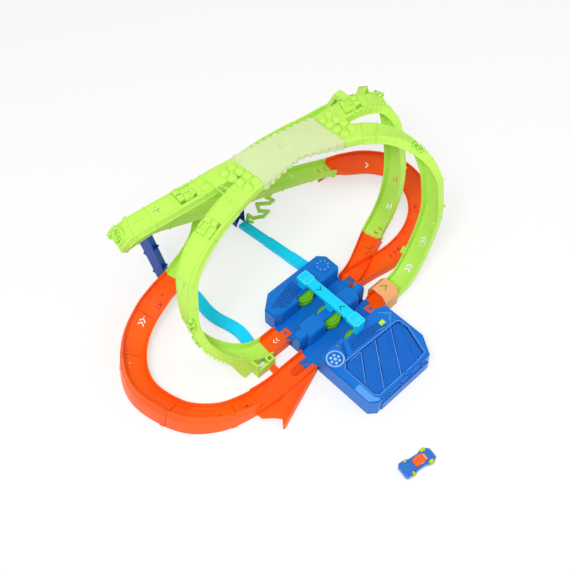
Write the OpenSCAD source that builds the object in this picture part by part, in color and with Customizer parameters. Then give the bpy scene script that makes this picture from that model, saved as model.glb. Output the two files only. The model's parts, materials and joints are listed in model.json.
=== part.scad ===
/* [Booster] */
// Length of the booster along its two lanes
booster_length = 173; // [168:1:178]
// Distance between the centre lines of the two lanes
lane_pitch = 72; // [70:0.5:75]
// Clear width of a lane between its side walls
lane_width = 37; // [36:0.5:38]
// Height of the booster housings above the floor
housing_height = 45; // [44:0.5:50]
// Height of the running surface inside the booster
road_height = 10; // [10:0.25:11]
// Width of the housing beside the first lane
left_housing_width = 53.5; // [50:0.5:58]
// Width of the battery housing beside the second lane
right_housing_width = 138; // [136:1:146]
// Wall thickness of the housings
shell_wall = 2.5; // [2:0.1:3]
// Height of the top of the bridge over both lanes
bridge_height = 75; // [72:0.5:80]
// Width of the bridge along the lanes
bridge_width = 24.5; // [22:0.5:28]

/* [Drive] */
// Radius of each rubber booster wheel
wheel_radius = 22.5; // [21.5:0.1:23]
// Height of the rubber tread
tread_height = 19; // [16:0.5:21]
// Radius of the fixed pins that the gears turn on
pin_radius = 2; // [1.8:0.1:2.4]
// Radial running clearance of the gears on their pins
pin_clearance = 0.06; // [0.04:0.01:0.09]
// Diameter of a battery cell
cell_diameter = 33; // [32:0.25:33.5]
// Length of a battery cell
cell_length = 60; // [58:0.5:61]
// Travel of the power switch
switch_travel = 4; // [3:0.25:5]

/* [Track] */
// Wall thickness of a track piece
track_wall = 1.8; // [1.6:0.1:2]
// Height of the side walls of the loop tracks above the running surface
loop_wall = 14; // [11:0.5:15]
// Height of the side walls of the floor curves above the running surface
curve_wall = 14; // [10:0.5:16]
// Clear width of the banked floor curves
curve_width = 43; // [41:0.5:45]
// How far the skirt of a floor curve spreads outwards at the floor
skirt_flare = 7; // [5:0.5:9]
// Height of the running surface at the top of the loops
loop_height = 304; // [298:1:316]
// Distance from the centre of the booster to the far side of each loop
loop_reach = 250; // [247:1:262]
// Distance of the farthest ramp behind the centre of the booster
set_depth = 308; // [304:1:320]

/* [Car] */
// Length of the car
car_length = 69; // [66:0.5:72]
// Width of the car over its wheels
car_width = 31; // [29:0.5:32]
// Radius of the car's wheels
car_wheel_radius = 6; // [5.5:0.1:6.5]

/* [Hidden] */

orange = [1, 0.35, 0.05];
lime = [0.72, 0.92, 0.35];
clear_lime = [0.87, 0.93, 0.7, 0.6];
cyan_blue = [0, 0.74, 0.94];
body_blue = [0.05, 0.4, 0.82];
deep_blue = [0, 0.28, 0.72];

// Clearance between the booster and the tracks that plug into it
joint = 0.3;
// Length, in stations, by which a skirt stops short of the ends
end_inset = 0.004;
// Small gap between pieces of different bodies, and overlap used to cut cleanly
gap = 0.3;
cut = 1;

// Booster plan
bx = booster_length / 2;
lane_y = lane_pitch / 2;
lane_half = lane_width / 2;
left_in = lane_y + lane_half;
left_out = left_in + left_housing_width;
right_in = -left_in;
right_out = right_in - right_housing_width;
island_half = lane_y - lane_half;
base_top = 3;
floor_skin = 1.8;

// Gear train: three wheel gears, two idlers between each pair, and the motor's reduction.
// The lane pitch sets the gear module, so the train always closes.
wheel_teeth = 32;
idler_teeth = 20;
pinion_teeth = 14;
gear_module = lane_pitch / (wheel_teeth + 2 * idler_teeth);
gear_z0 = base_top + 0.6;
gear_z1 = road_height - floor_skin - 0.4;
wheel_gear_r = wheel_teeth * gear_module / 2;
idler_r = idler_teeth * gear_module / 2;
pinion_r = pinion_teeth * gear_module / 2;
idler_near = lane_pitch - wheel_gear_r - idler_r;
idler_far = wheel_gear_r + idler_r;
reduction_angle = -30;
reduction_at = [2 * wheel_gear_r * cos(reduction_angle),
  2 * wheel_gear_r * sin(reduction_angle) - lane_pitch];
pinion_angle = -10;
pinion_at = reduction_at + (wheel_gear_r + pinion_r) * [cos(pinion_angle), sin(pinion_angle)];
motor_radius = 11.5;
tread_z0 = road_height + 3.4;
tread_z1 = tread_z0 + tread_height;
hub_radius = wheel_radius - 6;
cell_y1 = right_in - shell_wall - 48 - cell_diameter / 2;
cell_y2 = cell_y1 - cell_diameter - 1.5;
door_top = base_top - 0.2;
cell_z = door_top + cell_diameter / 2;

// Loop stretch: the low ends stay on the booster, the rest follows the three reach sizes
nominal = [250, 308, 304];
end_x = bx + 42;
end_x_nominal = 128;
function stretch_x(v) = abs(v) < end_x_nominal ? v * end_x / end_x_nominal
  : sign(v) * (end_x + (abs(v) - end_x_nominal) * (loop_reach - end_x) / (nominal[0] - end_x_nominal));
function stretch_y(v) = abs(v) <= 36 ? v * lane_y / 36
  : sign(v) * (lane_y + (abs(v) - 36) * (set_depth - lane_y) / (nominal[1] - 36));
function stretch_z(v) = road_height + (v - 10) * (loop_height - road_height) / (nominal[2] - 10);
function at(x, y, z, n = [0, 0, 1]) = [stretch_x(x), stretch_y(y), stretch_z(z), n[0], n[1], n[2]];
up = [0, 0, 1];
down = [0, 0, -1];

// Route of the second lane: up the right loop, over the crossing, round the tip and back to the
// right floor curve. Each point carries the direction that its running surface faces.
route_two = [at(128, -36, 10), at(168, -36, 21, [-0.3, 0, 1]), at(205, -31, 52, [-0.7, 0, 0.7]),
  at(232, -27, 98, [-1, 0, 0.3]), at(246, -24, 150, [-1, 0, 0]), at(248, -16, 200, [-1, 0, -0.2]),
  at(246, -4, 245, [-0.9, -0.1, -0.5]), at(236, 24, 286, [-0.6, -0.2, -0.9]),
  at(214, 66, 306, [-0.3, -0.2, -1]), at(186, 102, 307, [0, -0.1, -1]), at(150, 128, 304, down),
  at(70, 160, 304, down), at(0, 192, 304, down), at(-60, 204, 304, down), at(-120, 208, 304, down),
  at(-195, 215, 304, down), at(-244, 222, 300, [0.2, 0, -1]), at(-264, 236, 274, [0.8, 0, -0.6]),
  at(-260, 250, 244, [1, 0, 0.2]), at(-232, 264, 221, [0.5, 0, 1]), at(-180, 275, 200, up),
  at(-100, 275, 165, up), at(0, 270, 128, up), at(96, 264, 100, up), at(174, 257, 75, up),
  at(250, 246, 50, up), at(286, 236, 42, [-0.2, -0.3, 1]), at(326, 214, 37, [-0.4, -0.3, 1]),
  at(356, 180, 32, [-0.5, -0.1, 1]), at(366, 140, 28, [-0.5, 0.1, 1]), at(359, 98, 23, [-0.4, 0.3, 1]),
  at(332, 60, 18, [-0.3, 0.4, 1]), at(287, 34, 14,
    [-0.1, 0.3, 1]), at(236, 22, 12, up), at(190, 21, 10.5), at(140, 30, 10),
  [bx + joint, lane_y, road_height, 0, 0, 1]];

// Route of the first lane: up the left loop, over the crossing and down the drop track
route_one = [at(-128, 36, 10), at(-168, 42, 22, [0.3, 0, 1]), at(-206, 60, 50, [0.7, -0.1, 0.7]),
  at(-234, 84, 92, [1, -0.2, 0.3]), at(-242, 104, 145, [1, -0.2, 0.05]),
  at(-236, 113, 195, [1, -0.1, -0.2]), at(-224, 121, 240, [0.9, -0.1, -0.5]),
  at(-193, 128, 276, [0.6, 0, -0.8]), at(-150, 136, 297, [0.4, 0, -1]), at(-95, 147, 305, [0.1, 0, -1]),
  at(-40, 158, 304, down), at(20, 162, 304, down), at(90, 168, 304, down), at(150, 174, 304, down),
  at(210, 156, 318, [-0.1, 0, -1]), at(250, 134, 312, [-0.5, 0, -1]), at(259, 110, 286, [-0.9, 0, -0.4]),
  at(256, 92, 245, [-1, 0, -0.2]), at(251, 78, 200, [-1, 0, 0]), at(247, 73, 150, [-1, 0, 0.1]),
  at(243, 76, 95, [-0.9, 0, 0.4]), at(232, 80, 52, [-0.8, 0, 0.6]), at(204, 78, 19,
    [-0.4, 0, 0.9]), at(160, 60, 11), at(122, 44, 10),
  [bx + joint, lane_y, road_height, 0, 0, 1]];

// Route of the feeding ramp behind the loops and of the left floor curve
route_ramp = [at(286, 170, 258, up), at(262, 208, 240, up), at(225, 230, 226, up),
  at(185, 246, 212, up), at(140, 270, 192, up), at(90, 298, 160, up), at(30, 313, 126, up),
  at(-30, 305, 91, up), at(-88, 269, 67, up), at(-165, 247, 55, up), at(-210, 241, 47, [0.1, -0.3, 1]),
  at(-256, 230, 38, [0.3, -0.4, 1]), at(-298, 206, 31, [0.4, -0.3, 1]), at(-331, 169, 27, [0.5, -0.2, 1]),
  at(-347, 126, 23, [0.5, 0, 1]), at(-343, 80, 21, [0.5, 0.2, 1]), at(-322, 30, 18, [0.4, 0.3, 1]),
  at(-280, -9, 15, [0.2, 0.4, 1]), at(-230, -28, 12, [0.1, 0.3, 1]), at(-180, -36, 10, up),
  at(-130, -36, 10), [-(bx + joint), -lane_y, road_height, 0, 0, 1]];

// Catmull-Rom spline through a route's points and its slope
function blend(a, b, c, d, t) = 0.5 * (2 * b + (c - a) * t + (2 * a - 5 * b + 4 * c - d) * t * t
  + (3 * b - a - 3 * c + d) * t * t * t);
function slope(a, b, c, d, t) = 0.5 * ((c - a) + 2 * (2 * a - 5 * b + 4 * c - d) * t
  + 3 * (3 * b - a - 3 * c + d) * t * t);
function first3(v) = [v[0], v[1], v[2]];
function last3(v) = [v[3], v[4], v[5]];
function unit(v) = v / norm(v);
// Point beyond an end of a route: ends at lane level run on straight along the lanes
function beyond(p, q) = p[2] > road_height + 0.01 ? 2 * p - q : [2 * p[0] - q[0], q[1], q[2], q[3], q[4],
  q[5]];
function knot(r, i) = i < 0 ? beyond(r[0], r[1]) : i >= len(r) ? beyond(r[len(r) - 1],
  r[len(r) - 2]) : r[i];
// Station u of a route: centre, side, forward and up vectors
function station(r, u) = let (i = min(floor(u), len(r) - 2), t = u - i,
  k = [knot(r, i - 1), knot(r, i), knot(r, i + 1), knot(r, i + 2)],
  p = blend(k[0], k[1], k[2], k[3], t), f = unit(first3(slope(k[0], k[1], k[2], k[3], t))),
  n0 = last3(p), n = unit(n0 - (n0 * f) * f)) [first3(p), cross(f, n), f, n];
function spot(st, s, n, f = 0) = st[0] + st[1] * s + st[3] * n + st[2] * f;

// Closed skin through equal rings of points
module skin(rings) {
  m = len(rings[0]);
  k = len(rings);
  polyhedron(points = [for (r = rings) each r], convexity = 8,
    faces = concat([[for (i = [m - 1:-1:0]) i]], [[for (i = [0:m - 1]) (k - 1) * m + i]],
      [for (j = [0:k - 2], i = [0:m - 1], h = [0, 1]) let (a = j * m + i, b = j * m + (i + 1) % m)
        h == 0 ? [a, b, b + m] : [a, b + m, a + m]]));
}
function spaced(u0, u1, per) = let (n = max(2,
  ceil((u1 - u0) * per))) [for (k = [0:n]) u0 + (u1 - u0) * k / n];
// The same rings with one more straight past each end, for a sweep that cuts clean through
function run_past(r, u0, u1, rings) = let (a = station(r, u0)[2] * cut, b = station(r, u1)[2] * cut)
  concat([[for (p = rings[0]) p - a]], rings, [[for (p = rings[len(rings) - 1]) p + b]]);
// Sweep of a section from station u0 to u1
module run(r, u0, u1, section, per = 4, past = false) {
  rings = [for (u = spaced(u0, u1, per)) let (st = station(r, u)) [for (q = section) spot(st, q[0], q[1])]];
  skin(past ? run_past(r, u0, u1, rings) : rings);
}
loop_solid = [[-lane_half - track_wall, -track_wall], [lane_half + track_wall, -track_wall],
  [lane_half + track_wall, loop_wall], [-lane_half - track_wall, loop_wall]];
loop_clear = [[-lane_half, 0], [lane_half, 0], [lane_half, loop_wall + cut], [-lane_half, loop_wall + cut]];

// Banked floor curve: the outer wall carries a skirt that spreads down to the floor
curve_half = curve_width / 2;
// Clear half width of a curve piece, easing into the narrower track at its ends
function ease(u, a, b) = u < a ? 0 : u > b ? 1 : (u - a) / (b - a);
// Point on the ground straight below the cross-section, kept in the cross-section's plane
function floor_point(st, s) = let (p = spot(st, s, 0), v = [0, 0,
  1] - st[2] * st[2][2]) p - v * (p[2] / v[2]);
// k runs from 0 at the joint with a plain track to 1 where the curve is widest
function turned(ring, outer_right) = outer_right ? ring : [for (i = [len(ring) - 1:-1:0]) ring[i]];
function curve_half_at(k) = lane_half + (curve_half - lane_half) * k;
function curve_clear(st, k) = let (half = curve_half_at(k), top = curve_wall + 1)
  [spot(st, -half, 0), spot(st, half, 0), spot(st, half, top), spot(st, -half, top)];
function curve_trough(st, k, outer_right) = let (o = curve_half_at(k) + track_wall,
  d = outer_right ? 1 : -1)
  turned([spot(st, -d * o, -track_wall), spot(st, d * o, -track_wall), spot(st, d * o, curve_wall),
    spot(st, -d * o, curve_wall - 4)], outer_right);
// Skirt set in by a small ledge from the wall above it
ledge = 0.3;
skirt_top = -track_wall / 2;
function curve_skirt(st, k, outer_right) = let (half = curve_half_at(k), o = half + track_wall,
  d = outer_right ? 1 : -1, foot = o + skirt_flare * k)
  turned([floor_point(st, d * (foot - track_wall)), floor_point(st, d * foot), spot(st, d * (o - ledge),
    skirt_top),
    spot(st, d * (half - ledge), skirt_top)], outer_right);
function curve_base(st, k, outer_right) = let (o = curve_half_at(k) + track_wall + ledge / 2,
  d = outer_right ? 1 : -1)
  turned([floor_point(st, -d * o), floor_point(st, d * (o + skirt_flare * k)), spot(st, d * o, skirt_top),
    spot(st, -d * o, skirt_top)], outer_right);
// The curve widens over the first 1.5 stations and narrows over the last 2
function widen(u, ends) = min(ease(u, ends[0], ends[0] + 1.5), 1 - ease(u, ends[1] - 2, ends[1]));
module banked(r, u0, u1, outer_right, ends, per = 4) {
  us = spaced(u0, u1, per);
  difference() {
    skin([for (u = us) curve_trough(station(r, u), widen(u, ends), outer_right)]);
    skin(run_past(r, u0, u1, [for (u = us) curve_clear(station(r, u), widen(u, ends))]));
  }
  skin([for (u = spaced(u0 + end_inset, u1 - end_inset, per))
    curve_skirt(station(r, u), widen(u, ends), outer_right)]);
}
// Whole space taken by a banked piece, down to the floor
module banked_block(r, u0, u1, outer_right, ends, per = 4) {
  us = spaced(u0, u1, per);
  skin([for (u = us) curve_trough(station(r, u), widen(u, ends), outer_right)]);
  skin([for (u = us) curve_base(station(r, u), widen(u, ends), outer_right)]);
}

// Places children at station u of a route: x across, y forward, z away from the running surface
module on(r, u) {
  st = station(r, u);
  multmatrix([[st[1][0], st[2][0], st[3][0], st[0][0]], [st[1][1], st[2][1], st[3][1], st[0][1]],
    [st[1][2], st[2][2], st[3][2], st[0][2]], [0, 0, 0, 1]]) children();
}
// Arrow-shaped opening through the running surface, pointing forward
arrow_w = 9;
arrow_l = 6;
arrow_t = 2.6;
module arrow() {
  translate([0, 0, -track_wall - cut])
    linear_extrude(track_wall + 2 * cut)
      polygon([[-arrow_w / 2, 0], [0, arrow_l], [arrow_w / 2, 0], [arrow_w / 2, -arrow_t * 1.4],
        [0, arrow_l - arrow_t * 1.4], [-arrow_w / 2, -arrow_t * 1.4]]);
}
// Clip block on the outside of a track joint
clip_w = 22;
clip_l = 12;
clip_h = 5;
module clip() {
  difference() {
    translate([-clip_w / 2, -clip_l / 2, -track_wall - clip_h])
      cube([clip_w, clip_l, clip_h + track_wall / 2]);
    translate([-clip_w / 2 + 3, -clip_l / 2 + 3, -track_wall - clip_h - cut])
      cube([clip_w - 6, clip_l - 6, clip_h]);
  }
}
// Collar that wraps the end of a track piece
collar_l = 6;
collar_t = 1.6;
module collar(h = loop_wall) {
  o = lane_half + track_wall;
  difference() {
    translate([-o - collar_t, -collar_l - gap, -track_wall - collar_t])
      cube([2 * (o + collar_t), collar_l, h + track_wall + collar_t - 2]);
    translate([-o + track_wall / 2, -collar_l - cut, -track_wall / 2])
      cube([2 * o - track_wall, collar_l + 2 * cut, h + 2 * track_wall + cut]);
  }
}
// Row of teeth along the outer edge of a track, as on a cog rail
module spurs(r, u0, u1, count, side) {
  for (k = [0:count - 1])
    on(r, u0 + (u1 - u0) * k / (count - 1))
      translate([side * (lane_half - 1), 0, -track_wall - 1.6])
        rotate([0, 0, 45]) cube([4.4, 4.4, 5], center = true);
}
module loop_piece(r, u0, u1, per = 4) {
  difference() {
    run(r, u0, u1, loop_solid, per);
    run(r, u0, u1, loop_clear, per, true);
  }
}

// Plans of the booster housings, drawn in by e all round
function left_plan(e) = [[-bx + 2 + e, left_in + 5 + e * 0.6], [-bx + 18 + e * 0.6, left_in + e],
  [bx - 6 - e * 0.6, left_in + e], [bx - e, left_in + 7 + e * 0.4], [bx - e, left_out - 14 - e * 0.4],
  [bx - 13 - e * 0.4, left_out - e], [-bx + 31 + e * 0.5, left_out - e],
    [-bx + 1 + e, left_out - 24 - e * 0.6]];
function right_plan(e) = [[-bx + e, right_in - 6 - e * 0.4], [-bx + 28, right_in - 1.5 - e],
  [bx - 17, right_in - 1.5 - e], [bx - 1 - e, right_in - 10 - e * 0.4], [bx - e, right_out + 38 + e * 0.3],
  [bx - 22 - e * 0.5, right_out + 2 + e], [-bx + 22, right_out + e],
    [-bx + 14 + e * 0.3, right_out - 1 + e],
  [-bx + e, right_out + 11 + e * 0.4]];
island_nose = 8;
function island_plan(e) = [[-bx + e, -island_nose - 2 + e], [-bx + 20 + e * 0.3, -island_nose - 2 + e],
  [-bx + 23 + e * 0.5, -island_half + e], [bx - 24 - e * 0.5, -island_half + e],
    [bx - 20 - e * 0.3, -island_nose + e],
  [bx - e, -island_nose + e], [bx - e, island_nose - e], [bx - 20 - e * 0.3, island_nose - e],
  [bx - 24 - e * 0.5, island_half - e], [-bx + 23 + e * 0.5, island_half - e],
  [-bx + 20 + e * 0.3, island_nose + 2 - e], [-bx + e, island_nose + 2 - e]];
module prism(plan, z0, z1) {
  translate([0, 0, z0]) linear_extrude(z1 - z0) polygon(plan);
}
// Housing with softened top edges and a hollow inside
edge_soft = 1.6;
top_z = housing_height;
// Wheel windows: the treads reach past the housing walls into the lanes
window_half = wheel_radius + 3;
window_depth = 8.5;
boss_at = [bx - 22, left_in + 27];
badge_at = [-bx + 19.5, right_in - 26.5];
badge_radius = 17.5;
slider_at = [50, right_in - 30];
slot_half = [3, 3.2 + switch_travel / 2];
screw_r = 1.5;
screw_head_r = 3;
top_screws = [[-42, right_in - 8], [49, right_out + 14], [-41, right_out + 11]];
base_screws = [[-74, left_in + 22], [70, left_in + 20], [-78, right_out + 24], [72, right_in - 16],
  [70, right_out + 30], [-78, right_in - 40]];
tray_depth = 3;
function tray_plan(e) = [[-58 + e, right_in - 42 - e], [-69 + e, right_in - 54 - e * 0.4],
  [-69 + e, right_out + 16 + e * 0.4], [-62 + e * 0.4, right_out + 8 + e], [36, right_out + 8 + e],
  [60 - e * 0.6, right_out + 11 + e], [79 - e, right_out + 68], [78 - e, right_in - 52 - e * 0.5],
    [73 - e * 0.6, right_in - 47 - e]];
tongue_w = 18;
tongue_l = 18;
tongue_t = 1.2;
battery_half = cell_length + 2.2;
module star_hole(r, h) {
  for (a = [45, 135]) rotate([0, 0, a]) translate([-r, -r * 0.24, 0]) cube([2 * r, r * 0.48, h]);
}
module housing(plan0, plan1, plan2, plan3) {
  difference() {
    union() {
      prism(plan0, base_top, top_z - 2 * edge_soft);
      prism(plan1, top_z - 2 * edge_soft - 0.01, top_z - edge_soft);
      prism(plan2, top_z - edge_soft - 0.01, top_z);
    }
    prism(plan3, base_top - cut, top_z - 2 * edge_soft - shell_wall);
  }
}
module upper_shell() {
  color(body_blue) difference() {
    union() {
      housing(left_plan(0), left_plan(edge_soft * 0.5), left_plan(edge_soft * 1.4), left_plan(shell_wall));
      housing(right_plan(0), right_plan(edge_soft * 0.5), right_plan(edge_soft * 1.4),
        right_plan(shell_wall));
      housing(island_plan(0), island_plan(edge_soft * 0.5), island_plan(edge_soft * 1.2),
        island_plan(shell_wall));
      // Lane floors between the housings
      for (y = [-1, 1])
        translate([-bx, y * lane_y - lane_half - shell_wall - 1, road_height - floor_skin])
          cube([2 * bx, lane_width + 2 * shell_wall + 2, floor_skin]);
      // Tongues under the two incoming tracks
      for (d = [-1, 1])
        translate([d > 0 ? bx - cut : -bx - tongue_l + cut, d * lane_y - tongue_w / 2,
          road_height - floor_skin])
          cube([tongue_l, tongue_w, tongue_t]);
      // Domed boss with its ring on the narrow housing
      translate([boss_at[0], boss_at[1], top_z - cut]) difference() {
        cylinder(r = 16, h = cut + 1.6, $fn = 64);
        translate([0, 0, cut]) cylinder(r = 13, h = 3, $fn = 64);
      }
      translate([boss_at[0], boss_at[1], top_z - cut]) cylinder(r = 9, h = cut + 1, $fn = 48);
      // Stepped front skirt of the battery housing
      translate([-bx + 24, right_out - 1.8, base_top]) cube([booster_length - 50, 3, 22]);
      // Latch tab at the tray's edge
      translate([3, right_out + 6, top_z - cut]) cylinder(r = 5, h = cut + 1, $fn = 40);
      // Bosses for the screws of the base, and pads for the top screws
      for (p = base_screws)
        translate([p[0], p[1], base_top]) cylinder(r = screw_r + 2, h = top_z - 2 * edge_soft - base_top,
          $fn = 32);
      for (p = top_screws)
        translate([p[0], p[1], top_z - 9]) cylinder(r = 4, h = 9 - tray_depth, $fn = 32);
    }
    // Tray and its ribs are sunk into the battery housing
    difference() {
      prism(tray_plan(0), top_z - tray_depth, top_z + cut);
      for (x = [-38, -2, 34])
        translate([x, right_out + 4, top_z - tray_depth - cut]) rotate([0, 0, -28]) cube([2, 110,
          tray_depth + cut - 1.4]);
    }
    // Long grooves on the narrow housing
    for (k = [0:4])
      translate([-bx + 25 + k * 1.5, left_in + 12 + k * 5, top_z - 1]) cube([56 - k * 4, 2, 2]);
    // Hatched band between lane and tray
    for (k = [0:5])
      translate([-34 + k * 2, right_in - 36 + k * 3.4, top_z - 0.8]) cube([70 - k * 4, 1.3, 2]);
    // Wheel windows through the walls beside the lanes
    for (y = [left_in - cut, right_in - 1.5 + cut - window_depth - cut])
      translate([-window_half, y, road_height + 0.2]) cube([2 * window_half, window_depth + cut, top_z]);
    for (y = [-1, 1])
      translate([-window_half, y > 0 ? island_half - window_depth : -island_half - cut, road_height + 0.2])
        cube([2 * window_half, window_depth + cut, top_z]);
    // Space for the treads inside
    for (y = [-1, 0, 1])
      translate([0, y * lane_pitch, road_height + 0.2])
        cylinder(r = wheel_radius + 2.5, h = tread_z1 + 2 - road_height, $fn = 96);
    // Passage for the gear train below the lane floors
    translate([-wheel_gear_r - 3, -lane_pitch - wheel_gear_r - 3, base_top - cut])
      cube([2 * wheel_gear_r + 6, 2 * (lane_pitch + wheel_gear_r + 3),
        road_height - floor_skin - base_top + cut]);
    // Necks of the wheel hubs
    for (y = [-1, 0, 1])
      translate([0, y * lane_pitch, base_top]) cylinder(r = neck_radius + 1.2, h = top_z / 2, $fn = 48);
    // Slot of the power switch
    translate([slider_at[0] - slot_half[0], slider_at[1] - slot_half[1], base_top])
      cube([2 * slot_half[0], 2 * slot_half[1], top_z]);
    // Screw holes
    for (p = base_screws) translate([p[0], p[1], base_top - cut]) cylinder(r = screw_r, h = 14, $fn = 24);
    for (p = top_screws) {
      translate([p[0], p[1], top_z - 12]) cylinder(r = screw_r, h = 20, $fn = 24);
      translate([p[0], p[1], top_z - tray_depth - 2]) cylinder(r = screw_head_r + 0.2, h = 20, $fn = 32);
    }
    // Small hole beside the grooves
    translate([-43, left_in + 8, top_z - 4]) cylinder(r = 1.6, h = 8, $fn = 24);
    // Star holes of the tongues, and seats of the tongues of the outgoing tracks
    for (d = [-1, 1]) {
      translate([d * (bx + tongue_l / 2), d * lane_y, 0]) star_hole(5, 20);
      translate([d > 0 ? bx - tongue_l : -bx - cut, -d * lane_y - tongue_w / 2 - joint,
        road_height - tongue_t])
        cube([tongue_l + cut, tongue_w + 2 * joint, 4]);
    }
    // Round seat of the badge
    translate([badge_at[0], badge_at[1], top_z - 1]) cylinder(r = badge_radius, h = 4, $fn = 72);
  }
}
neck_radius = 6;
pin_top = road_height + 18;
module pin(x, y, h) {
  translate([x, y, base_top - cut]) cylinder(r = pin_radius, h = h + cut, $fn = 36);
}
battery_y0 = cell_y2 - cell_diameter / 2 - 1;
battery_y1 = cell_y1 + cell_diameter / 2 + 1;
module base_plate() {
  color(deep_blue) difference() {
    union() {
      prism(left_plan(0.8), 0, base_top);
      prism(right_plan(0.8), 0, base_top);
      translate([-bx + 0.8, right_in - 4, 0]) cube([2 * bx - 1.6, left_in - right_in + 8, base_top]);
      for (y = [-1, 0, 1]) pin(0, y * lane_pitch, pin_top - base_top);
      for (y = [-idler_near, -idler_far, idler_far, idler_near]) pin(0, y, gear_z1 - base_top);
      pin(reduction_at[0], reduction_at[1], gear_z1 - base_top);
      // Cradle under the motor, open where the reduction gear reaches in
      translate([pinion_at[0], pinion_at[1], base_top - cut]) difference() {
        cylinder(r = motor_radius + 1.6, h = road_height - base_top + 3 + cut, $fn = 72);
        translate([0, 0, cut / 2]) cylinder(r = pinion_r + 2.2, h = 20, $fn = 48);
        translate([0, 0, road_height - base_top + cut]) cylinder(r = motor_radius, h = 20, $fn = 72);
      }
      // Rails that carry the lane floors
      for (y = [-1, 1], x = [-bx + 8, bx - 14])
        translate([x, y * lane_y - 6, base_top - cut]) cube([6, 12,
          road_height - floor_skin - base_top + cut]);
    }
    translate([reduction_at[0], reduction_at[1], gear_z0 - 0.3]) difference() {
      cylinder(r = wheel_gear_r + gear_module + 0.6, h = gear_z1 - gear_z0 + 0.6, $fn = 96);
      translate([0, 0, -cut]) cylinder(r = pin_radius, h = 20, $fn = 36);
    }
    // Battery opening
    translate([-battery_half, battery_y0, -cut]) cube([2 * battery_half, battery_y1 - battery_y0,
      base_top + 2 * cut]);
    for (p = base_screws) {
      translate([p[0], p[1], -cut]) cylinder(r = screw_r, h = base_top + 2 * cut, $fn = 24);
      translate([p[0], p[1], -cut]) cylinder(r = screw_head_r + 0.2, h = cut + 1.4, $fn = 32);
    }
  }
}
module battery_door() {
  color(deep_blue) difference() {
    union() {
      translate([-battery_half + gap, battery_y0 + gap, 0])
        cube([2 * (battery_half - gap), battery_y1 - battery_y0 - 2 * gap, door_top]);
      // Tongues that hook over the base plate
      for (x = [-40, -12])
        translate([x, battery_y1 - gap - cut, base_top]) cube([10, 4, 1.2]);
      for (x = [-40, -12])
        translate([x, battery_y1 - gap - 3, door_top - cut]) cube([10, 3, base_top + 1.2 - door_top + cut]);
    }
    for (k = [0:6]) translate([-42 + k * 14, battery_y0 + 8, -cut]) cube([3, 24, cut + 0.8]);
  }
}
module cells() {
  color([0.2, 0.2, 0.22]) for (x = [-1, 1], y = [cell_y1, cell_y2])
    translate([x * (cell_length / 2 + 0.8), y, cell_z]) rotate([0, 90, 0]) {
      translate([0, 0, -cell_length / 2]) cylinder(d = cell_diameter, h = cell_length - 1.2, $fn = 64);
      translate([0, 0, cell_length / 2 - 1.3]) cylinder(r = 4.5, h = 1.3, $fn = 32);
    }
}
contact_t = 0.6;
module contacts() {
  color([0.8, 0.8, 0.82]) for (d = [-1, 1])
    translate([d > 0 ? cell_length + 0.8 : -cell_length - 0.8 - contact_t, cell_y2 - 8, cell_z - 8])
      cube([contact_t, cell_y1 - cell_y2 + 16, 16]);
}
motor_top = top_z - 2 * edge_soft - shell_wall - 4;
shaft_radius = 1;
module motor() {
  color([0.75, 0.76, 0.78]) translate([pinion_at[0], pinion_at[1], 0]) difference() {
    union() {
      translate([0, 0, road_height]) cylinder(r = motor_radius - 0.2, h = motor_top - road_height,
        $fn = 64);
      translate([0, 0, motor_top - cut]) cylinder(r = 4, h = cut + 1.5, $fn = 40);
    }
    translate([0, 0, road_height - cut]) cylinder(r = shaft_radius + pin_clearance, h = 16 + cut, $fn = 32);
  }
}
// Involute gear with a round bore
function tooth_turn(rb, r) = let (a = acos(min(1, rb / r))) tan(a) * 180 / PI - a;
backlash = 0.35;
module gear(teeth, bore, phase) {
  pr = teeth * gear_module / 2;
  rb = pr * cos(20);
  ro = pr + 0.85 * gear_module;
  ri = pr - 1.15 * gear_module;
  flank = [for (k = [0:3]) let (r = max(rb, ri + 0.05) + (ro - max(rb, ri + 0.05)) * k / 3) [r,
    tooth_turn(rb, r)]];
  half = 90 / teeth - backlash + tooth_turn(rb, pr);
  translate([0, 0, gear_z0]) linear_extrude(gear_z1 - gear_z0) difference() {
    polygon([for (t = [0:teeth - 1]) let (c = phase + t * 360 / teeth) each concat(
      [ri * [cos(c - half), sin(c - half)]],
        [for (q = flank) q[0] * [cos(c - half + q[1]), sin(c - half + q[1])]],
      [for (k = [3:-1:0]) let (q = flank[k]) q[0] * [cos(c + half - q[1]), sin(c + half - q[1])]],
      [ri * [cos(c + half), sin(c + half)]])]);
    circle(r = bore, $fn = 48);
  }
}
// Phase that puts a gap of the next gear over a tooth of this one along direction a
function meshed(a, phase, pitch, next_pitch) = a + 180 + next_pitch * ((a - phase) / pitch + 0.5);
pitch_w = 360 / wheel_teeth;
pitch_i = 360 / idler_teeth;
pitch_p = 360 / pinion_teeth;
phase_right = 0;
phase_d = meshed(90, phase_right, pitch_w, pitch_i);
phase_c = meshed(90, phase_d, pitch_i, pitch_i);
phase_middle = meshed(90, phase_c, pitch_i, pitch_w);
phase_b = meshed(90, phase_middle, pitch_w, pitch_i);
phase_a = meshed(90, phase_b, pitch_i, pitch_i);
phase_left = meshed(90, phase_a, pitch_i, pitch_w);
phase_reduction = meshed(reduction_angle, phase_right, pitch_w, pitch_w);
phase_pinion = meshed(pinion_angle, phase_reduction, pitch_w, pitch_p);
bore_r = pin_radius + pin_clearance;
module idler(y, phase) {
  color("white") translate([0, y, 0]) gear(idler_teeth, bore_r, phase);
}
module gear_a() idler(idler_near, phase_a);
module gear_b() idler(idler_far, phase_b);
module gear_c() idler(-idler_far, phase_c);
module gear_d() idler(-idler_near, phase_d);
module reduction_gear() {
  color("white")
    translate([reduction_at[0], reduction_at[1], 0]) gear(wheel_teeth, bore_r, phase_reduction);
}
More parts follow.
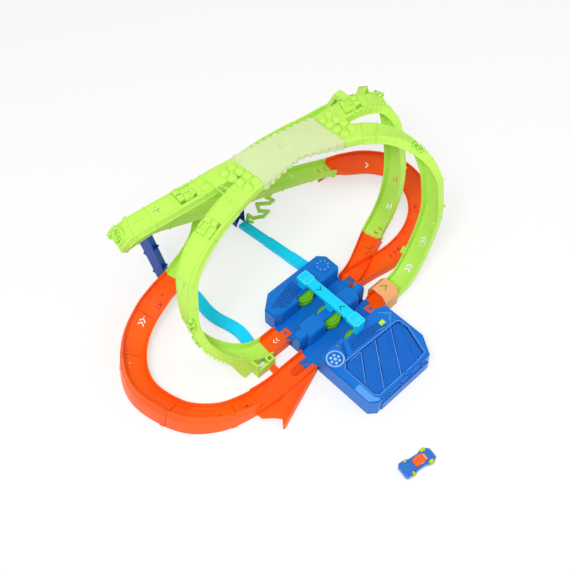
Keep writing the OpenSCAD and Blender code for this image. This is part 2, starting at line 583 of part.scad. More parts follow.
module motor_pinion() {
  color([0.8, 0.7, 0.4]) translate([pinion_at[0], pinion_at[1], 0]) {
    gear(pinion_teeth, shaft_radius - 0.2, phase_pinion);
    translate([0, 0, gear_z0]) cylinder(r = shaft_radius, h = road_height + 14 - gear_z0, $fn = 32);
  }
}
module hub(y, phase) {
  color("white") translate([0, y, 0]) difference() {
    union() {
      gear(wheel_teeth, bore_r, phase);
      translate([0, 0, gear_z1 - cut / 2]) cylinder(r = neck_radius, h = tread_z0 - gear_z1 + cut,
        $fn = 48);
      translate([0, 0, tread_z0]) cylinder(r = hub_radius, h = tread_height, $fn = 96);
    }
    translate([0, 0, gear_z0 - cut]) cylinder(r = bore_r, h = pin_top + 0.6 - gear_z0 + cut, $fn = 48);
    translate([0, 0, tread_z1 - 2]) difference() {
      cylinder(r = hub_radius - 2, h = 3, $fn = 72);
      translate([0, 0, -cut]) cylinder(r = 5, h = 6, $fn = 40);
    }
  }
}
module hub_left() hub(lane_pitch, phase_left);
module hub_middle() hub(0, phase_middle);
module hub_right() hub(-lane_pitch, phase_right);
// Two-step rubber tread with a groove round it
module tread(y) {
  color([0.45, 0.8, 0.1]) translate([0, y, tread_z0]) rotate_extrude($fn = 128)
    polygon([[hub_radius, 0], [wheel_radius - 0.8, 0], [wheel_radius, 0.8],
      [wheel_radius, tread_height * 0.38],
      [wheel_radius - 1.6, tread_height * 0.42], [wheel_radius - 1.6, tread_height * 0.52],
      [wheel_radius, tread_height * 0.56], [wheel_radius, tread_height - 4],
        [wheel_radius - 2.6, tread_height - 3.4],
      [wheel_radius - 3.4, tread_height], [hub_radius, tread_height]]);
}
module tread_left() tread(lane_pitch);
module tread_middle() tread(0);
module tread_right() tread(-lane_pitch);

slider_cap = [11, 9, 2.6];
module power_slider() {
  color([0.7, 0.95, 0.3]) translate([slider_at[0], slider_at[1] - switch_travel / 2, 0]) {
    translate([-slider_cap[0] / 2, -slider_cap[1] / 2, top_z + 0.05]) cube(slider_cap);
    for (x = [-3, 0, 3])
      translate([x - 0.5, -slider_cap[1] / 2, top_z + slider_cap[2]]) cube([1, slider_cap[1], 0.8]);
    translate([-2.6, -2.8, top_z - 2 * edge_soft - shell_wall - 2]) cube([5.2, 5.6,
      2 * edge_soft + shell_wall + 2.2]);
    translate([-5, -4, top_z - 2 * edge_soft - shell_wall - 2.1]) cube([10, 8, 2]);
  }
}
module round_badge() {
  color([0.3, 0.6, 0.95]) translate([badge_at[0], badge_at[1], top_z - 1]) difference() {
    cylinder(r = badge_radius - 0.2, h = 3.4, $fn = 72);
    translate([0, 0, 2.2]) cylinder(r = badge_radius - 3.4, h = 4, $fn = 72);
    for (a = [0:60:300]) rotate([0, 0, a]) translate([6.5, 0, 1.4]) cylinder(r = 2.6, h = 4, $fn = 24);
    translate([0, 0, 1.4]) cylinder(r = 2.4, h = 4, $fn = 24);
  }
}
bridge_x0 = 6.2 - bridge_width / 2;
bridge_y0 = -lane_pitch - 1;
bridge_y1 = lane_pitch + 10;
deck_t = 10;
pad_l = 27;
module bridge_arrow(d) {
  rotate([0, 0, d > 0 ? -90 : 90]) translate([-6, -3, 0]) linear_extrude(3)
    polygon([[0, 0], [6, 6], [12, 0], [12, -4], [6, 2], [0, -4]]);
}
module bridge() {
  color(cyan_blue) difference() {
    union() {
      translate([bridge_x0 + 2, bridge_y0 + 6, bridge_height - deck_t])
        cube([bridge_width - 4, bridge_y1 - bridge_y0 - 12, deck_t - 1]);
      for (y = [bridge_y0, bridge_y1 - pad_l])
        translate([bridge_x0, y, bridge_height - deck_t]) cube([bridge_width, pad_l, deck_t]);
      // Leg on the narrow housing
      translate([bridge_x0 + 2, bridge_y1 - 17, top_z]) cube([bridge_width - 4, 17,
        bridge_height - top_z - deck_t / 2]);
      // Leg on the battery housing
      translate([bridge_x0 + 2, bridge_y0, top_z]) cube([bridge_width - 4, 8,
        bridge_height - top_z - deck_t / 2]);
      // Tapered leg on the island
      translate([bridge_x0 + 4, 0, 0]) rotate([90, 0, 90]) linear_extrude(bridge_width - 8)
        polygon([[-6, top_z], [6, top_z], [13, bridge_height - deck_t + 1],
          [-13, bridge_height - deck_t + 1]]);
    }
    // Framed recesses on the end pads
    for (y = [bridge_y0 + 3, bridge_y1 - pad_l + 3])
      translate([bridge_x0 + 3, y, bridge_height - 1.6]) cube([bridge_width - 6, pad_l - 6, 4]);
    // Hollow underside
    translate([bridge_x0 + 4, bridge_y0 + 10, bridge_height - deck_t - cut])
      cube([bridge_width - 8, lane_pitch - 26, deck_t - 3 + cut]);
    translate([bridge_x0 + 4, 16, bridge_height - deck_t - cut]) cube([bridge_width - 8, lane_pitch - 26,
      deck_t - 3 + cut]);
    // Arrows over the lanes
    translate([6.2, lane_y, bridge_height - 1.8]) bridge_arrow(-1);
    translate([6.2, -lane_y, bridge_height - 1.8]) bridge_arrow(1);
  }
}
module screw(h) {
  cylinder(r = screw_head_r, h = 1.4, $fn = 32);
  cylinder(r = screw_r - 0.1, h = h, $fn = 24);
}
module screws() {
  color([0.75, 0.76, 0.78]) {
    for (p = base_screws) translate([p[0], p[1], 0]) screw(12);
    for (p = top_screws) translate([p[0], p[1], top_z - tray_depth - 0.6]) mirror([0, 0, 1]) screw(5);
  }
}

// Straight track that plugs into the booster: walls down to the floor and a tongue
exit_l = 42;
side_o = lane_half + track_wall;
module exit_track() {
  rotate([90, 0, 90]) linear_extrude(exit_l)
    polygon([[-side_o, 0], [-lane_half, 0], [-lane_half, road_height - track_wall],
      [lane_half, road_height - track_wall],
      [lane_half, 0], [side_o, 0], [side_o, road_height + loop_wall], [lane_half, road_height + loop_wall],
      [lane_half, road_height], [-lane_half, road_height], [-lane_half, road_height + loop_wall],
      [-side_o, road_height + loop_wall]]);
  difference() {
    translate([-tongue_l + gap, -tongue_w / 2, road_height - tongue_t]) cube([tongue_l, tongue_w,
      tongue_t]);
    translate([-tongue_l / 2, 0, 0]) star_hole(5, 20);
  }
}
module exit_right() {
  color(orange) translate([bx, -lane_y, 0]) difference() {
    exit_track();
    translate([-cut, -side_o - cut, road_height + 9]) cube([9, 2 * (side_o + cut), 20]);
    for (x = [12, 24]) translate([x, 0, road_height - 0.8]) rotate([0, 0, -90]) chevron(0);
  }
}
module exit_left() {
  color(orange) translate([-bx, lane_y, 0]) rotate([0, 0, 180]) difference() {
    exit_track();
    translate([-cut, -side_o - cut, road_height + 9]) cube([9, 2 * (side_o + cut), 20]);
    for (x = [12, 24]) translate([x, 0, road_height - 0.8]) rotate([0, 0, -90]) chevron(0);
  }
}
// Chevron outline pointing along y
module chevron(z, w = arrow_w, h = 3) {
  translate([0, 0, z]) linear_extrude(h)
    polygon([[-w / 2, 0], [0, w * 0.62], [w / 2, 0], [w / 2, -w * 0.36], [0, w * 0.26],
      [-w / 2, -w * 0.36]]);
}
// Arch that clips over the walls of the right exit
arch_x = bx + 6;
arch_l = exit_l - 6;
arch_t = 2.5;
arch_top = 48;
module tunnel() {
  o = side_o + arch_t;
  color([0.98, 0.72, 0.48, 0.6]) translate([arch_x, -lane_y, 0]) rotate([90, 0, 90]) difference() {
    linear_extrude(arch_l)
      polygon([[-o, 0], [-side_o, 0], [-side_o, arch_top - 14], [-side_o + 8, arch_top - arch_t],
        [side_o - 8, arch_top - arch_t],
        [side_o, arch_top - 14], [side_o, 0], [o, 0], [o, arch_top - 13], [side_o - 7, arch_top],
          [-side_o + 7, arch_top],
        [-o, arch_top - 13]]);
    translate([0, arch_top, arch_l / 2]) rotate([90, 0, 0])
      translate([0, 0, -cut]) chevron(0, 14, arch_t + 2 * cut);
  }
}

// Floor tracks with walls that stand on the ground; hl and hr are the two wall heights
module floor_solid(r, u0, u1, hl, hr, grow = 0, per = 4) {
  o = side_o + grow;
  skin([for (u = spaced(u0, u1, per)) let (st = station(r, u)) [floor_point(st, -o), floor_point(st, o),
    spot(st, o, hr), spot(st, -o, hl)]]);
}
module floor_clear(r, u0, u1, h, per = 4) {
  us = spaced(u0, u1, per);
  skin(run_past(r, u0, u1, [for (u = us) let (st = station(r, u)) [spot(st, -lane_half, 0),
    spot(st, lane_half, 0), spot(st, lane_half, h), spot(st, -lane_half, h)]]));
  d = [0, 0, -cut];
  skin(run_past(r, u0, u1, [for (u = us) let (st = station(r, u)) [floor_point(st, -lane_half) + d,
    floor_point(st, lane_half) + d, spot(st, lane_half, -track_wall), spot(st, -lane_half, -track_wall)]]));
}
merge_end_one = 25;
merge_end_two = 36;
module merge_right() {
  color(orange) difference() {
    union() {
      floor_solid(route_one, 22, merge_end_one, curve_wall, curve_wall);
      floor_solid(route_two, 33, merge_end_two, curve_wall, curve_wall);
      // Pocket for the loop's square peg
      translate([bx + 118, -lane_y + 26, 0]) cube([18, 13, 30]);
    }
    floor_clear(route_one, 22, merge_end_one, 40);
    floor_clear(route_two, 33, merge_end_two, 40);
    translate([bx + 121, -lane_y + 29, 12]) cube([12, 7, 30]);
    // Notch for the tongue of the booster
    translate([bx - cut, lane_y - tongue_w / 2 - joint, -cut])
      cube([tongue_l + cut + joint, tongue_w + 2 * joint, road_height + 2 * cut]);
  }
}
left_ends = [9, 18.3];
entry_u = 18.3;
entry_end = 21;
entry_low = 3.5;
module entry_left() {
  color(orange) difference() {
    floor_solid(route_ramp, entry_u, entry_end, curve_wall, entry_low);
    floor_clear(route_ramp, entry_u, entry_end, 40);
    translate([-bx - tongue_l - joint, -lane_y - tongue_w / 2 - joint, -cut])
      cube([tongue_l + cut + joint, tongue_w + 2 * joint, road_height + 2 * cut]);
    for (k = [0:3])
      translate([-bx - 26 - k * 4.5, -lane_y, road_height - 0.6]) rotate([0, 0, -90]) chevron(0, 20);
  }
}
fan_deck = 8;
ridge_top = 20;
run_lap = 0.1;
entry_space = [[-side_o - joint, -track_wall], [side_o + joint, -track_wall], [side_o + joint, 2 * ridge_top],
  [-side_o - joint, 2 * ridge_top]];
fan_a = [-bx - 2, -lane_y - 21];
fan_b = [-214, -100];
fan_c = [-204, -88];
fan_d = [-212, -78];
fan_e = [-230, -62];
fan_f = [-228, -40];
module feed_ramp() {
  wall = [[fan_a[0], fan_a[1]], [fan_b[0], fan_b[1]], [fan_b[0] + 3, fan_b[1] - 2.4],
    [fan_a[0], fan_a[1] - 2.2]];
  color(orange) difference() {
    union() {
      translate([0, 0, fan_deck]) linear_extrude(2) polygon([fan_a, fan_b, fan_c, fan_d, fan_e, fan_f,
        [fan_a[0], fan_f[1]]]);
      linear_extrude(18) polygon(wall);
      // Ridge between the fan and the lane
      linear_extrude(ridge_top) polygon([[-228, -49], [-229, -52], [-180, -59], [-170, -56]]);
      translate([-190, -93, 0]) cube([8, 5, fan_deck + 1]);
      translate([-160, -76, 0]) cube([3, 22, fan_deck + 1]);
    }
    floor_solid(route_ramp, entry_u - run_lap, entry_end, curve_wall, entry_low, joint);
    run(route_ramp, entry_u - run_lap, entry_end, entry_space);
    banked_block(route_ramp, 15.5, 18.3, true, left_ends, 5);
  }
}

// Loops and crossing
module slots(r, list, w = 3, l = 9) {
  for (q = list) on(r, q[0])
    translate([q[1] - w / 2, -l / 2, -track_wall - cut]) cube([w, l, track_wall + 2 * cut]);
}
module loop_two_low() {
  color(lime) difference() {
    union() {
      loop_piece(route_two, 0, 4.5);
      on(route_two, 4.5) collar();
      on(route_two, 1.2) clip();
      // Peg into the merging track's pocket
      on(route_two, 2) translate([-side_o - 11, -7, -4]) cube([11 + track_wall / 2, 14, 10]);
    }
    for (u = [1.45, 1.75, 2.45, 2.75]) on(route_two, u) arrow();
    slots(route_two, [[3.5, 0], [3.3, 5]], 4, 7);
  }
}
module loop_two_high() {
  color(lime) difference() {
    union() {
      loop_piece(route_two, 4.5, 9.3);
      spurs(route_two, 6.9, 8.2, 7, 1);
      on(route_two, 7.2) translate([side_o - track_wall, -9, -track_wall - 3]) cube([10, 18, 12]);
    }
    on(route_two, 7.2) translate([side_o + 1.5, -6, -track_wall - 3 - cut]) cube([5, 12, 12 + 3 * cut]);
    slots(route_two, [[4.9, 8], [5.4, 8]], 3, 3);
  }
}
// Both channels of the crossing; u ranges for the two routes
module cross_part(a0, a1, b0, b1) {
  difference() {
    union() {
      run(route_one, a0, a1, loop_solid);
      run(route_two, b0, b1, loop_solid);
      children();
    }
    run(route_one, a0, a1, loop_clear, past = true);
    run(route_two, b0, b1, loop_clear, past = true);
  }
}
lobe_r = 12.5;
module lobes(x, y, turn, spread) {
  translate([x, y, loop_height]) rotate([0, 0, turn])
    for (i = [-1, 1], j = [-1, 1])
      translate([i * spread, j * (lobe_r - 1), track_wall / 2]) cylinder(r = lobe_r, h = track_wall / 2 + 4,
        $fn = 48);
}
// The clear middle is a wide deck between the two lime ends, which are cut square to the lanes
cross_x0 = stretch_x(-30);
cross_x1 = stretch_x(138);
deck_middle = stretch_x(58);
deck_back = [[cross_x0, stretch_y(198.5) + side_o], [deck_middle, stretch_y(188) + side_o],
  [cross_x1, stretch_y(173) + side_o]];
deck_front = [[cross_x0, stretch_y(158.7) - side_o], [deck_middle, stretch_y(162.8) - side_o],
  [cross_x1, stretch_y(132.5) - side_o]];
module between(x0, x1) {
  translate([x0, 0, 0]) cube([x1 - x0, set_depth, 2 * loop_height]);
}
module cross_left() {
  color(lime) intersection() {
    cross_part(8.9, 10.4, 12.2, 13.6) lobes(cross_x0 - 20, stretch_y(190), 12, 15);
    between(-loop_reach, cross_x0);
  }
}
cross_end = station(route_one, 13.4)[0][0];
module cross_right() {
  color(lime) intersection() {
    cross_part(12.5, 13.4, 9.3, 10.4) intersection() {
      lobes((cross_x1 + cross_end) / 2 + 4, stretch_y(156), -14, 11);
      between(cross_x1, cross_end - 5);
    }
    between(cross_x1, loop_reach);
  }
}
scallop_r = 5;
scallops = 12;
// Rise of the arched lower edge of the clear deck's front wall, and the width of its two feet
deck_arch = 9;
deck_foot = 8;
module deck_plan(past, in) {
  x0 = cross_x0 + gap - past;
  x1 = cross_x1 - gap + past;
  polygon([[x0, deck_front[0][1] + in], deck_front[1] + [0, in], [x1, deck_front[2][1] + in],
    [x1, deck_back[2][1] - in], deck_back[1] - [0, in], [x0, deck_back[0][1] - in]]);
}
module cross_clear() {
  low = loop_height - loop_wall;
  tall = loop_wall + track_wall;
  long = cross_x1 - cross_x0;
  half_arch = long / 2 - deck_foot;
  arch_r = (half_arch * half_arch + deck_arch * deck_arch) / (2 * deck_arch);
  arch_y0 = deck_front[2][1] - 2 * scallop_r;
  color(clear_lime) difference() {
    union() {
      translate([0, 0, low]) linear_extrude(tall) deck_plan(0, 0);
      // Scalloped rims along both walls
      for (k = [1:scallops - 1], edge = [deck_front, deck_back]) let (x = cross_x0 + long * k / scallops)
        translate([x, lookup(x, edge), low + 2]) cylinder(r = scallop_r, h = tall - 3, $fn = 32);
      translate([deck_middle, (deck_front[1][1] + deck_back[1][1]) / 2, loop_height])
        cylinder(r = 12, h = 4, $fn = 48);
    }
    translate([0, 0, low - cut]) linear_extrude(loop_wall + cut) deck_plan(cut, track_wall);
    translate([(cross_x0 + cross_x1) / 2, arch_y0, low + deck_arch - arch_r]) rotate([-90, 0, 0])
      cylinder(r = arch_r, h = deck_front[1][1] + track_wall - arch_y0, $fn = 180);
  }
}
bracket_l = 30;
module bracket() {
  difference() {
    translate([-15, -bracket_l / 2, -track_wall - 7]) cube([30, bracket_l, 7 + track_wall / 2]);
    translate([-11, -bracket_l / 2 - cut, -track_wall - 7 - cut]) cube([8, bracket_l * 0.6, 6]);
    translate([2, -bracket_l / 2 + 6, -track_wall - 7 - cut]) cube([9, bracket_l * 0.5, 6]);
  }
}
module upper_band() {
  color(lime) difference() {
    union() {
      loop_piece(route_two, 13.6, 16.2);
      on(route_two, 14.3) bracket();
      on(route_two, 16.2) collar();
    }
    on(route_two, 15.3) translate([0, 0, -track_wall - 4]) star_hole(7, 10);
  }
}
module tip_turn() {
  color(lime) difference() {
    union() {
      loop_piece(route_two, 16.2, 19.5, 6);
      spurs(route_two, 16.8, 18.4, 7, -1);
      on(route_two, 16.6) translate([0, 0, -track_wall - 4]) difference() {
        cylinder(r = 15, h = 5, $fn = 48);
        translate([0, 0, -cut]) cylinder(r = 10, h = 4, $fn = 48);
      }
    }
    on(route_two, 17.3) translate([-5, -7, -track_wall - cut - 5]) cube([10, 14, track_wall + 5 + 2 * cut]);
  }
}
module return_high() {
  color(lime) loop_piece(route_two, 19.5, 22.5);
}
module return_low() {
  color(lime) difference() {
    loop_piece(route_two, 22.5, 25);
    slots(route_two, [[24.75, -6], [24.75, 6]], 7, 3);
  }
}
right_ends = [25, 33];
module curve_right_a() {
  color(orange) difference() {
    banked(route_two, 25, 28.5, false, right_ends, 5);
    slots(route_two, [[25.3, 0]], 8, 3);
  }
}
module curve_right_b() {
  color(orange) banked(route_two, 28.5, 33, false, right_ends, 5);
}
module loop_one_low() {
  color(lime) difference() {
    union() {
      loop_piece(route_one, 0, 4);
      spurs(route_one, 1.8, 3, 7, -1);
      on(route_one, 3.2) clip();
      on(route_one, 4) collar();
    }
    slots(route_one, [[1.1, 6], [1.1, -6]], 3, 5);
  }
}
module loop_one_high() {
  color(lime) difference() {
    union() {
      loop_piece(route_one, 4, 8.9);
      on(route_one, 4.2) translate([0, 12, 0]) clip();
      on(route_one, 7.9) bracket();
    }
    slots(route_one, [[5.3, 3], [5.6, 0]], 2.4, 9);
  }
}
module turn_over() {
  color(lime) {
    loop_piece(route_one, 13.4, 16.2, 6);
    spurs(route_one, 13.8, 15.4, 8, -1);
    on(route_one, 13.8) bracket();
  }
}
module drop_track() {
  color(lime) difference() {
    loop_piece(route_one, 16.2, 22);
    slots(route_one, [[17.2, 2], [18.5, 3], [18.6, 7], [20, -2], [20.15, 3]], 2.6, 13);
    slots(route_one, [[21.3, 0], [21.75, -2]], 9, 3);
  }
}
module ramp_high() {
  color(lime) difference() {
    union() {
      loop_piece(route_ramp, 0, 4.5);
      // Raised box at the mouth
      on(route_ramp, 0.5)
        translate([-side_o - 2, -9, -track_wall - 2]) cube([2 * side_o + 4, 18, loop_wall + 16]);
    }
    on(route_ramp, 0.5)
      translate([-lane_half, -9 - cut, 0]) cube([lane_width, 18 + 2 * cut, loop_wall + 12]);
  }
}
module ramp_low() {
  color(lime) loop_piece(route_ramp, 4.5, 9);
}
socket_at = [stretch_x(-172), stretch_y(262)];
socket_turn = 8;
socket = [24, 17, 13];
module curve_left_a() {
  color(orange) difference() {
    union() {
      banked(route_ramp, 9, 12, true, left_ends, 5);
      // Socket that holds the tall column's foot
      translate(socket_at) rotate([0, 0, socket_turn]) cube(socket);
    }
    slots(route_ramp, [[9.4, 0], [9.8, -6]], 8, 3);
  }
}
module curve_left_b() {
  color(orange) difference() {
    banked(route_ramp, 12, 15.5, true, left_ends, 5);
    slots(route_ramp, [[12.1, 0]], 8, 3);
  }
}
module curve_left_c() {
  color(orange) difference() {
    banked(route_ramp, 15.5, 18.3, true, left_ends, 5);
    slots(route_ramp, [[17, 2], [17.9, 0]], 8, 3);
  }
}

// Straight member with a constant section from a to b
module beam(a, b) {
  d = b - a;
  translate(a) rotate([0, acos(d[2] / norm(d)), atan2(d[1], d[0])]) linear_extrude(norm(d)) children();
}
column_w = 24;
column_d = 14;
module column_section() {
  difference() {
    square([column_d, column_w], center = true);
    translate([-2.5, 0]) square([column_d, column_w - 5], center = true);
  }
}
module below_ground() {
  translate([-1000, -1000, -100]) cube([2000, 2000, 100]);
}
module track_block(r, u0, u1, per = 4) {
  run(r, u0, u1, [[-side_o, -track_wall], [side_o, -track_wall], [side_o, 60], [-side_o, 60]], per);
}
column_left_foot = [stretch_x(-158), stretch_y(291), 0];
column_left_top = [stretch_x(-200), stretch_y(272), stretch_z(210) + 4];
module column_left() {
  d = column_left_top - column_left_foot;
  color(deep_blue) difference() {
    union() {
      beam(column_left_foot - unit(d) * 12, column_left_top) column_section();
      for (k = [0:4]) translate(column_left_foot + d * (0.06 + k * 0.18))
        rotate([0, acos(d[2] / norm(d)), atan2(d[1], d[0])])
          rotate([k % 2 == 0 ? 34 : -34, 0, 0]) translate([0, 0, norm(d) * 0.07])
            cube([column_d - 4, 3, norm(d) * 0.15], center = true);
    }
    below_ground();
    track_block(route_two, 19.5, 22.5);
    track_block(route_two, 18.5, 19.6);
    run(route_two, 17.5, 19.5, loop_solid, 6);
    translate([socket_at[0], socket_at[1], -cut]) rotate([0, 0, socket_turn]) cube(socket + [0, 0, cut]);
    banked_block(route_ramp, 9, 12, true, left_ends, 5);
  }
}
column_back_at = [stretch_x(42), stretch_y(303), 0];
module column_back() {
  color(deep_blue) difference() {
    union() {
      beam(column_back_at, column_back_at + [0, 0, stretch_z(150)]) rotate(90) column_section();
      for (k = [0:3]) translate(column_back_at + [0, 0, 17 + k * 30])
        rotate([0, k % 2 == 0 ? 34 : -34, 0]) cube([3, column_d - 4, 34], center = true);
    }
    track_block(route_ramp, 4.5, 9);
  }
}
module ramp_hanger() {
  color(lime) difference() {
    translate([stretch_x(196), 0, 0]) rotate([90, 0, 90]) linear_extrude(16) difference() {
      polygon([[stretch_y(174), stretch_z(322)], [stretch_y(198), stretch_z(322)],
        [stretch_y(238), stretch_z(232)],
        [stretch_y(238), stretch_z(203)], [stretch_y(214), stretch_z(203)],
          [stretch_y(214), stretch_z(228)]]);
      polygon([[stretch_y(188), stretch_z(312)], [stretch_y(194), stretch_z(312)],
        [stretch_y(224), stretch_z(244)],
        [stretch_y(218), stretch_z(240)]]);
    }
    run(route_ramp, 0, 4.5, [[-side_o, -track_wall], [side_o, -track_wall], [side_o, loop_wall],
      [-side_o, loop_wall]]);
    run(route_one, 13.4, 16.2, [[-side_o, -track_wall], [side_o, -track_wall], [side_o, 60],
      [-side_o, 60]], 6);
    run(route_one, 12.4, 13.4, loop_solid);
    on(route_one, 13.8)
      translate([-15, -bracket_l / 2, -track_wall - 7]) cube([30, bracket_l, 7 + track_wall]);
  }
}
link_w = 22;
link_h = 12;
// Floor spacer in nested steps from the booster to the back column
link_x = [59, 42];
link_step = 0.8;
module floor_link_a() {
  y0 = left_out;
  y1 = column_back_at[1] - column_w / 2;
  color(cyan_blue) for (k = [0:3]) let (t0 = k / 4, t1 = (k + 1) / 4,
    x0 = link_x[0] + (link_x[1] - link_x[0]) * t0, x1 = link_x[0] + (link_x[1] - link_x[0]) * t1,
    half = link_w / 2 - k * link_step)
    linear_extrude(link_h - k) polygon([[x0 - half, y0 + (y1 - y0) * t0], [x0 + half, y0 + (y1 - y0) * t0],
      [x1 + half, y0 + (y1 - y0) * t1], [x1 - half, y0 + (y1 - y0) * t1]]);
}
function wave_x(t) = stretch_x(-141) - 4 * t * t * 3 + 5 * sin(t * 540);
module floor_link_b() {
  y0 = lane_y + side_o + 10;
  // The far end stands against the socket of the left curve
  y1 = socket_at[1] + (wave_x(1) - link_w / 2 - socket_at[0]) * tan(socket_turn) - joint;
  n = 24;
  color(cyan_blue) linear_extrude(link_h) polygon(concat(
    [for (k = [0:n]) [wave_x(k / n) - link_w / 2, y0 + (y1 - y0) * k / n]],
    [for (k = [n:-1:0]) [wave_x(k / n) + link_w / 2, y0 + (y1 - y0) * k / n]]));
}
// Zigzag strut in a vertical plane between the return track and the floor
strut_turn = 121;
strut_path = [[6, stretch_z(100)], [14, stretch_z(89)], [0, stretch_z(84)], [8, stretch_z(73)],
  [34, stretch_z(62)], [30, stretch_z(42)], [11, stretch_z(47)], [22, stretch_z(28)], [44, 15], [54, 22],
  [57, 4], [46, 0]];
module bolt_strut() {
  color(lime) difference() {
    translate([stretch_x(86), stretch_y(243), 0]) rotate([0, 0, strut_turn]) rotate([90, 0, 0])
      translate([0, 0, -2.5]) linear_extrude(5)
        for (k = [0:len(strut_path) - 2]) let (a = strut_path[k], b = strut_path[k + 1], d = b - a)
          translate(a) rotate(atan2(d[1], d[0])) translate([-3, -3]) square([norm(d) + 6, 6]);
    below_ground();
    track_block(route_two, 22.5, 25);
  }
}
module side_foot() {
  color(lime) difference() {
    union() {
      translate([stretch_x(-176), 0, 0]) rotate([90, 0, 90]) linear_extrude(5)
        polygon([[lane_y - side_o - 8, 0], [lane_y - side_o - 1, 0], [lane_y + side_o, 22],
          [lane_y - side_o - 12, 40]]);
      translate([stretch_x(-176), lane_y - side_o - 12, 0])
        cube([stretch_x(-150) - stretch_x(-176) + 4, 6, 22]);
      translate([stretch_x(-150), lane_y - side_o - 14, 0]) cube([14, 14, 30]);
    }
    track_block(route_one, 0, 4);
    translate([stretch_x(-150) + 3, lane_y - side_o - 11, 14]) cube([8, 8, 30]);
  }
}
module track_tie() {
  color(orange) difference() {
    translate([stretch_x(-150), -lane_y + side_o - 4, 0]) cube([12, 2 * lane_y - 2 * side_o - 10, 9]);
    floor_solid(route_ramp, entry_u, entry_end, curve_wall, entry_low);
  }
}

// Die-cast car parked in front, and its two axles
car_at = [-93, -305];
car_turn = -10;
wheel_base = car_length * 0.58;
axle_r = 0.8;
car_tyre_w = 6;
module car_place() {
  translate([car_at[0], car_at[1], 0]) rotate([0, 0, car_turn]) children();
}
module car_body() {
  l = car_length / 2;
  w = car_width / 2 - 0.8;
  color(body_blue) car_place() difference() {
    intersection() {
      rotate([90, 0, 0]) translate([0, 0, -car_width]) linear_extrude(2 * car_width)
        polygon([[-l, 3.5], [-l, 11], [-l + 3, 12.5], [-l + 12, 13], [-l + 20, 10.6], [4, 10.2],
          [l - 22, 10.4], [l - 12, 9.4],
          [l - 3, 6.5], [l, 4], [l - 1, 2.2], [-l + 2, 2.2]]);
      translate([0, 0, -cut]) linear_extrude(30)
        polygon([[-l, -w + 4], [-l + 4, -w], [-l + 18, -w], [-l + 24, -w + 2.5], [l - 26, -w + 2.5],
          [l - 20, -w + 0.6],
          [l - 9, -w + 0.6], [l, -w + 6], [l, w - 6], [l - 9, w - 0.6], [l - 20, w - 0.6],
            [l - 26, w - 2.5],
          [-l + 24, w - 2.5], [-l + 18, w], [-l + 4, w], [-l, w - 4]]);
    }
    for (x = [-wheel_base / 2, wheel_base / 2]) {
      for (d = [-1, 1])
        translate([x, d * (car_width / 2 - car_tyre_w - 0.6), car_wheel_radius]) rotate([-90 * d, 0, 0])
        cylinder(r = car_wheel_radius + 0.8, h = car_tyre_w + 4, $fn = 48);
      translate([x, 0, car_wheel_radius]) rotate([90, 0, 0])
        translate([0, 0, -car_width]) cylinder(r = axle_r + 0.08, h = 2 * car_width, $fn = 32);
    }
    translate([-l + 26, -7.5, 8.6]) cube([26, 15, 10]);
  }
}
module car_canopy() {
  l = car_length / 2;
  color(orange) car_place() intersection() {
    rotate([90, 0, 0]) translate([0, 0, -car_width]) linear_extrude(2 * car_width)
      polygon([[-l + 26, 8.6], [-l + 26, 12], [-l + 30, 16.5], [-l + 40, 17.5], [-l + 47, 15],
        [-l + 52, 10.8], [-l + 52, 8.6]]);
    linear_extrude(30)
      polygon([[-l + 26, -6.4], [-l + 30, -7.5], [-l + 42, -7.5], [-l + 52, -5.5], [-l + 52, 5.5],
        [-l + 42, 7.5], [-l + 30, 7.5], [-l + 26, 6.4]]);
  }
}
module car_axle(x) {
  color([0.75, 0.85, 0.2]) car_place() translate([x, 0, car_wheel_radius]) rotate([90, 0, 0]) {
    cylinder(r = axle_r, h = car_width - 2, center = true, $fn = 32);
    for (d = [-1, 1]) translate([0, 0, d * (car_width / 2 - car_tyre_w / 2)]) difference() {
      cylinder(r = car_wheel_radius, h = car_tyre_w, center = true, $fn = 64);
      translate([0, 0, d * (car_tyre_w / 2 - 0.4)]) difference() {
        cylinder(r = car_wheel_radius - 1.6, h = 2, center = true, $fn = 48);
        for (a = [0:72:288]) rotate([0, 0, a]) translate([0, -0.7, -2]) cube([car_wheel_radius, 1.4, 4]);
        cylinder(r = 1.4, h = 4, center = true, $fn = 24);
      }
    }
  }
}
module car_axle_front() car_axle(wheel_base / 2);
module car_axle_rear() car_axle(-wheel_base / 2);

base_plate();
upper_shell();
battery_door();
cells();
contacts();
motor();
motor_pinion();
reduction_gear();
gear_a();
gear_b();
gear_c();
gear_d();
hub_left();
hub_middle();
hub_right();
tread_left();
tread_middle();
tread_right();
power_slider();
round_badge();
bridge();
screws();
exit_left();
exit_right();
tunnel();
merge_right();
feed_ramp();
loop_two_low();
loop_two_high();
cross_right();
cross_clear();
cross_left();
upper_band();
tip_turn();
return_high();
return_low();
curve_right_a();
curve_right_b();
loop_one_low();
loop_one_high();
turn_over();
drop_track();
ramp_high();
ramp_low();
curve_left_a();
curve_left_b();
curve_left_c();
entry_left();
column_left();
column_back();
ramp_hanger();
floor_link_a();
floor_link_b();
bolt_strut();
side_foot();
track_tie();
car_body();
car_canopy();
car_axle_front();
car_axle_rear();
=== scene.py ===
import json
import math

import bmesh
import bpy
from mathutils import Matrix, Vector


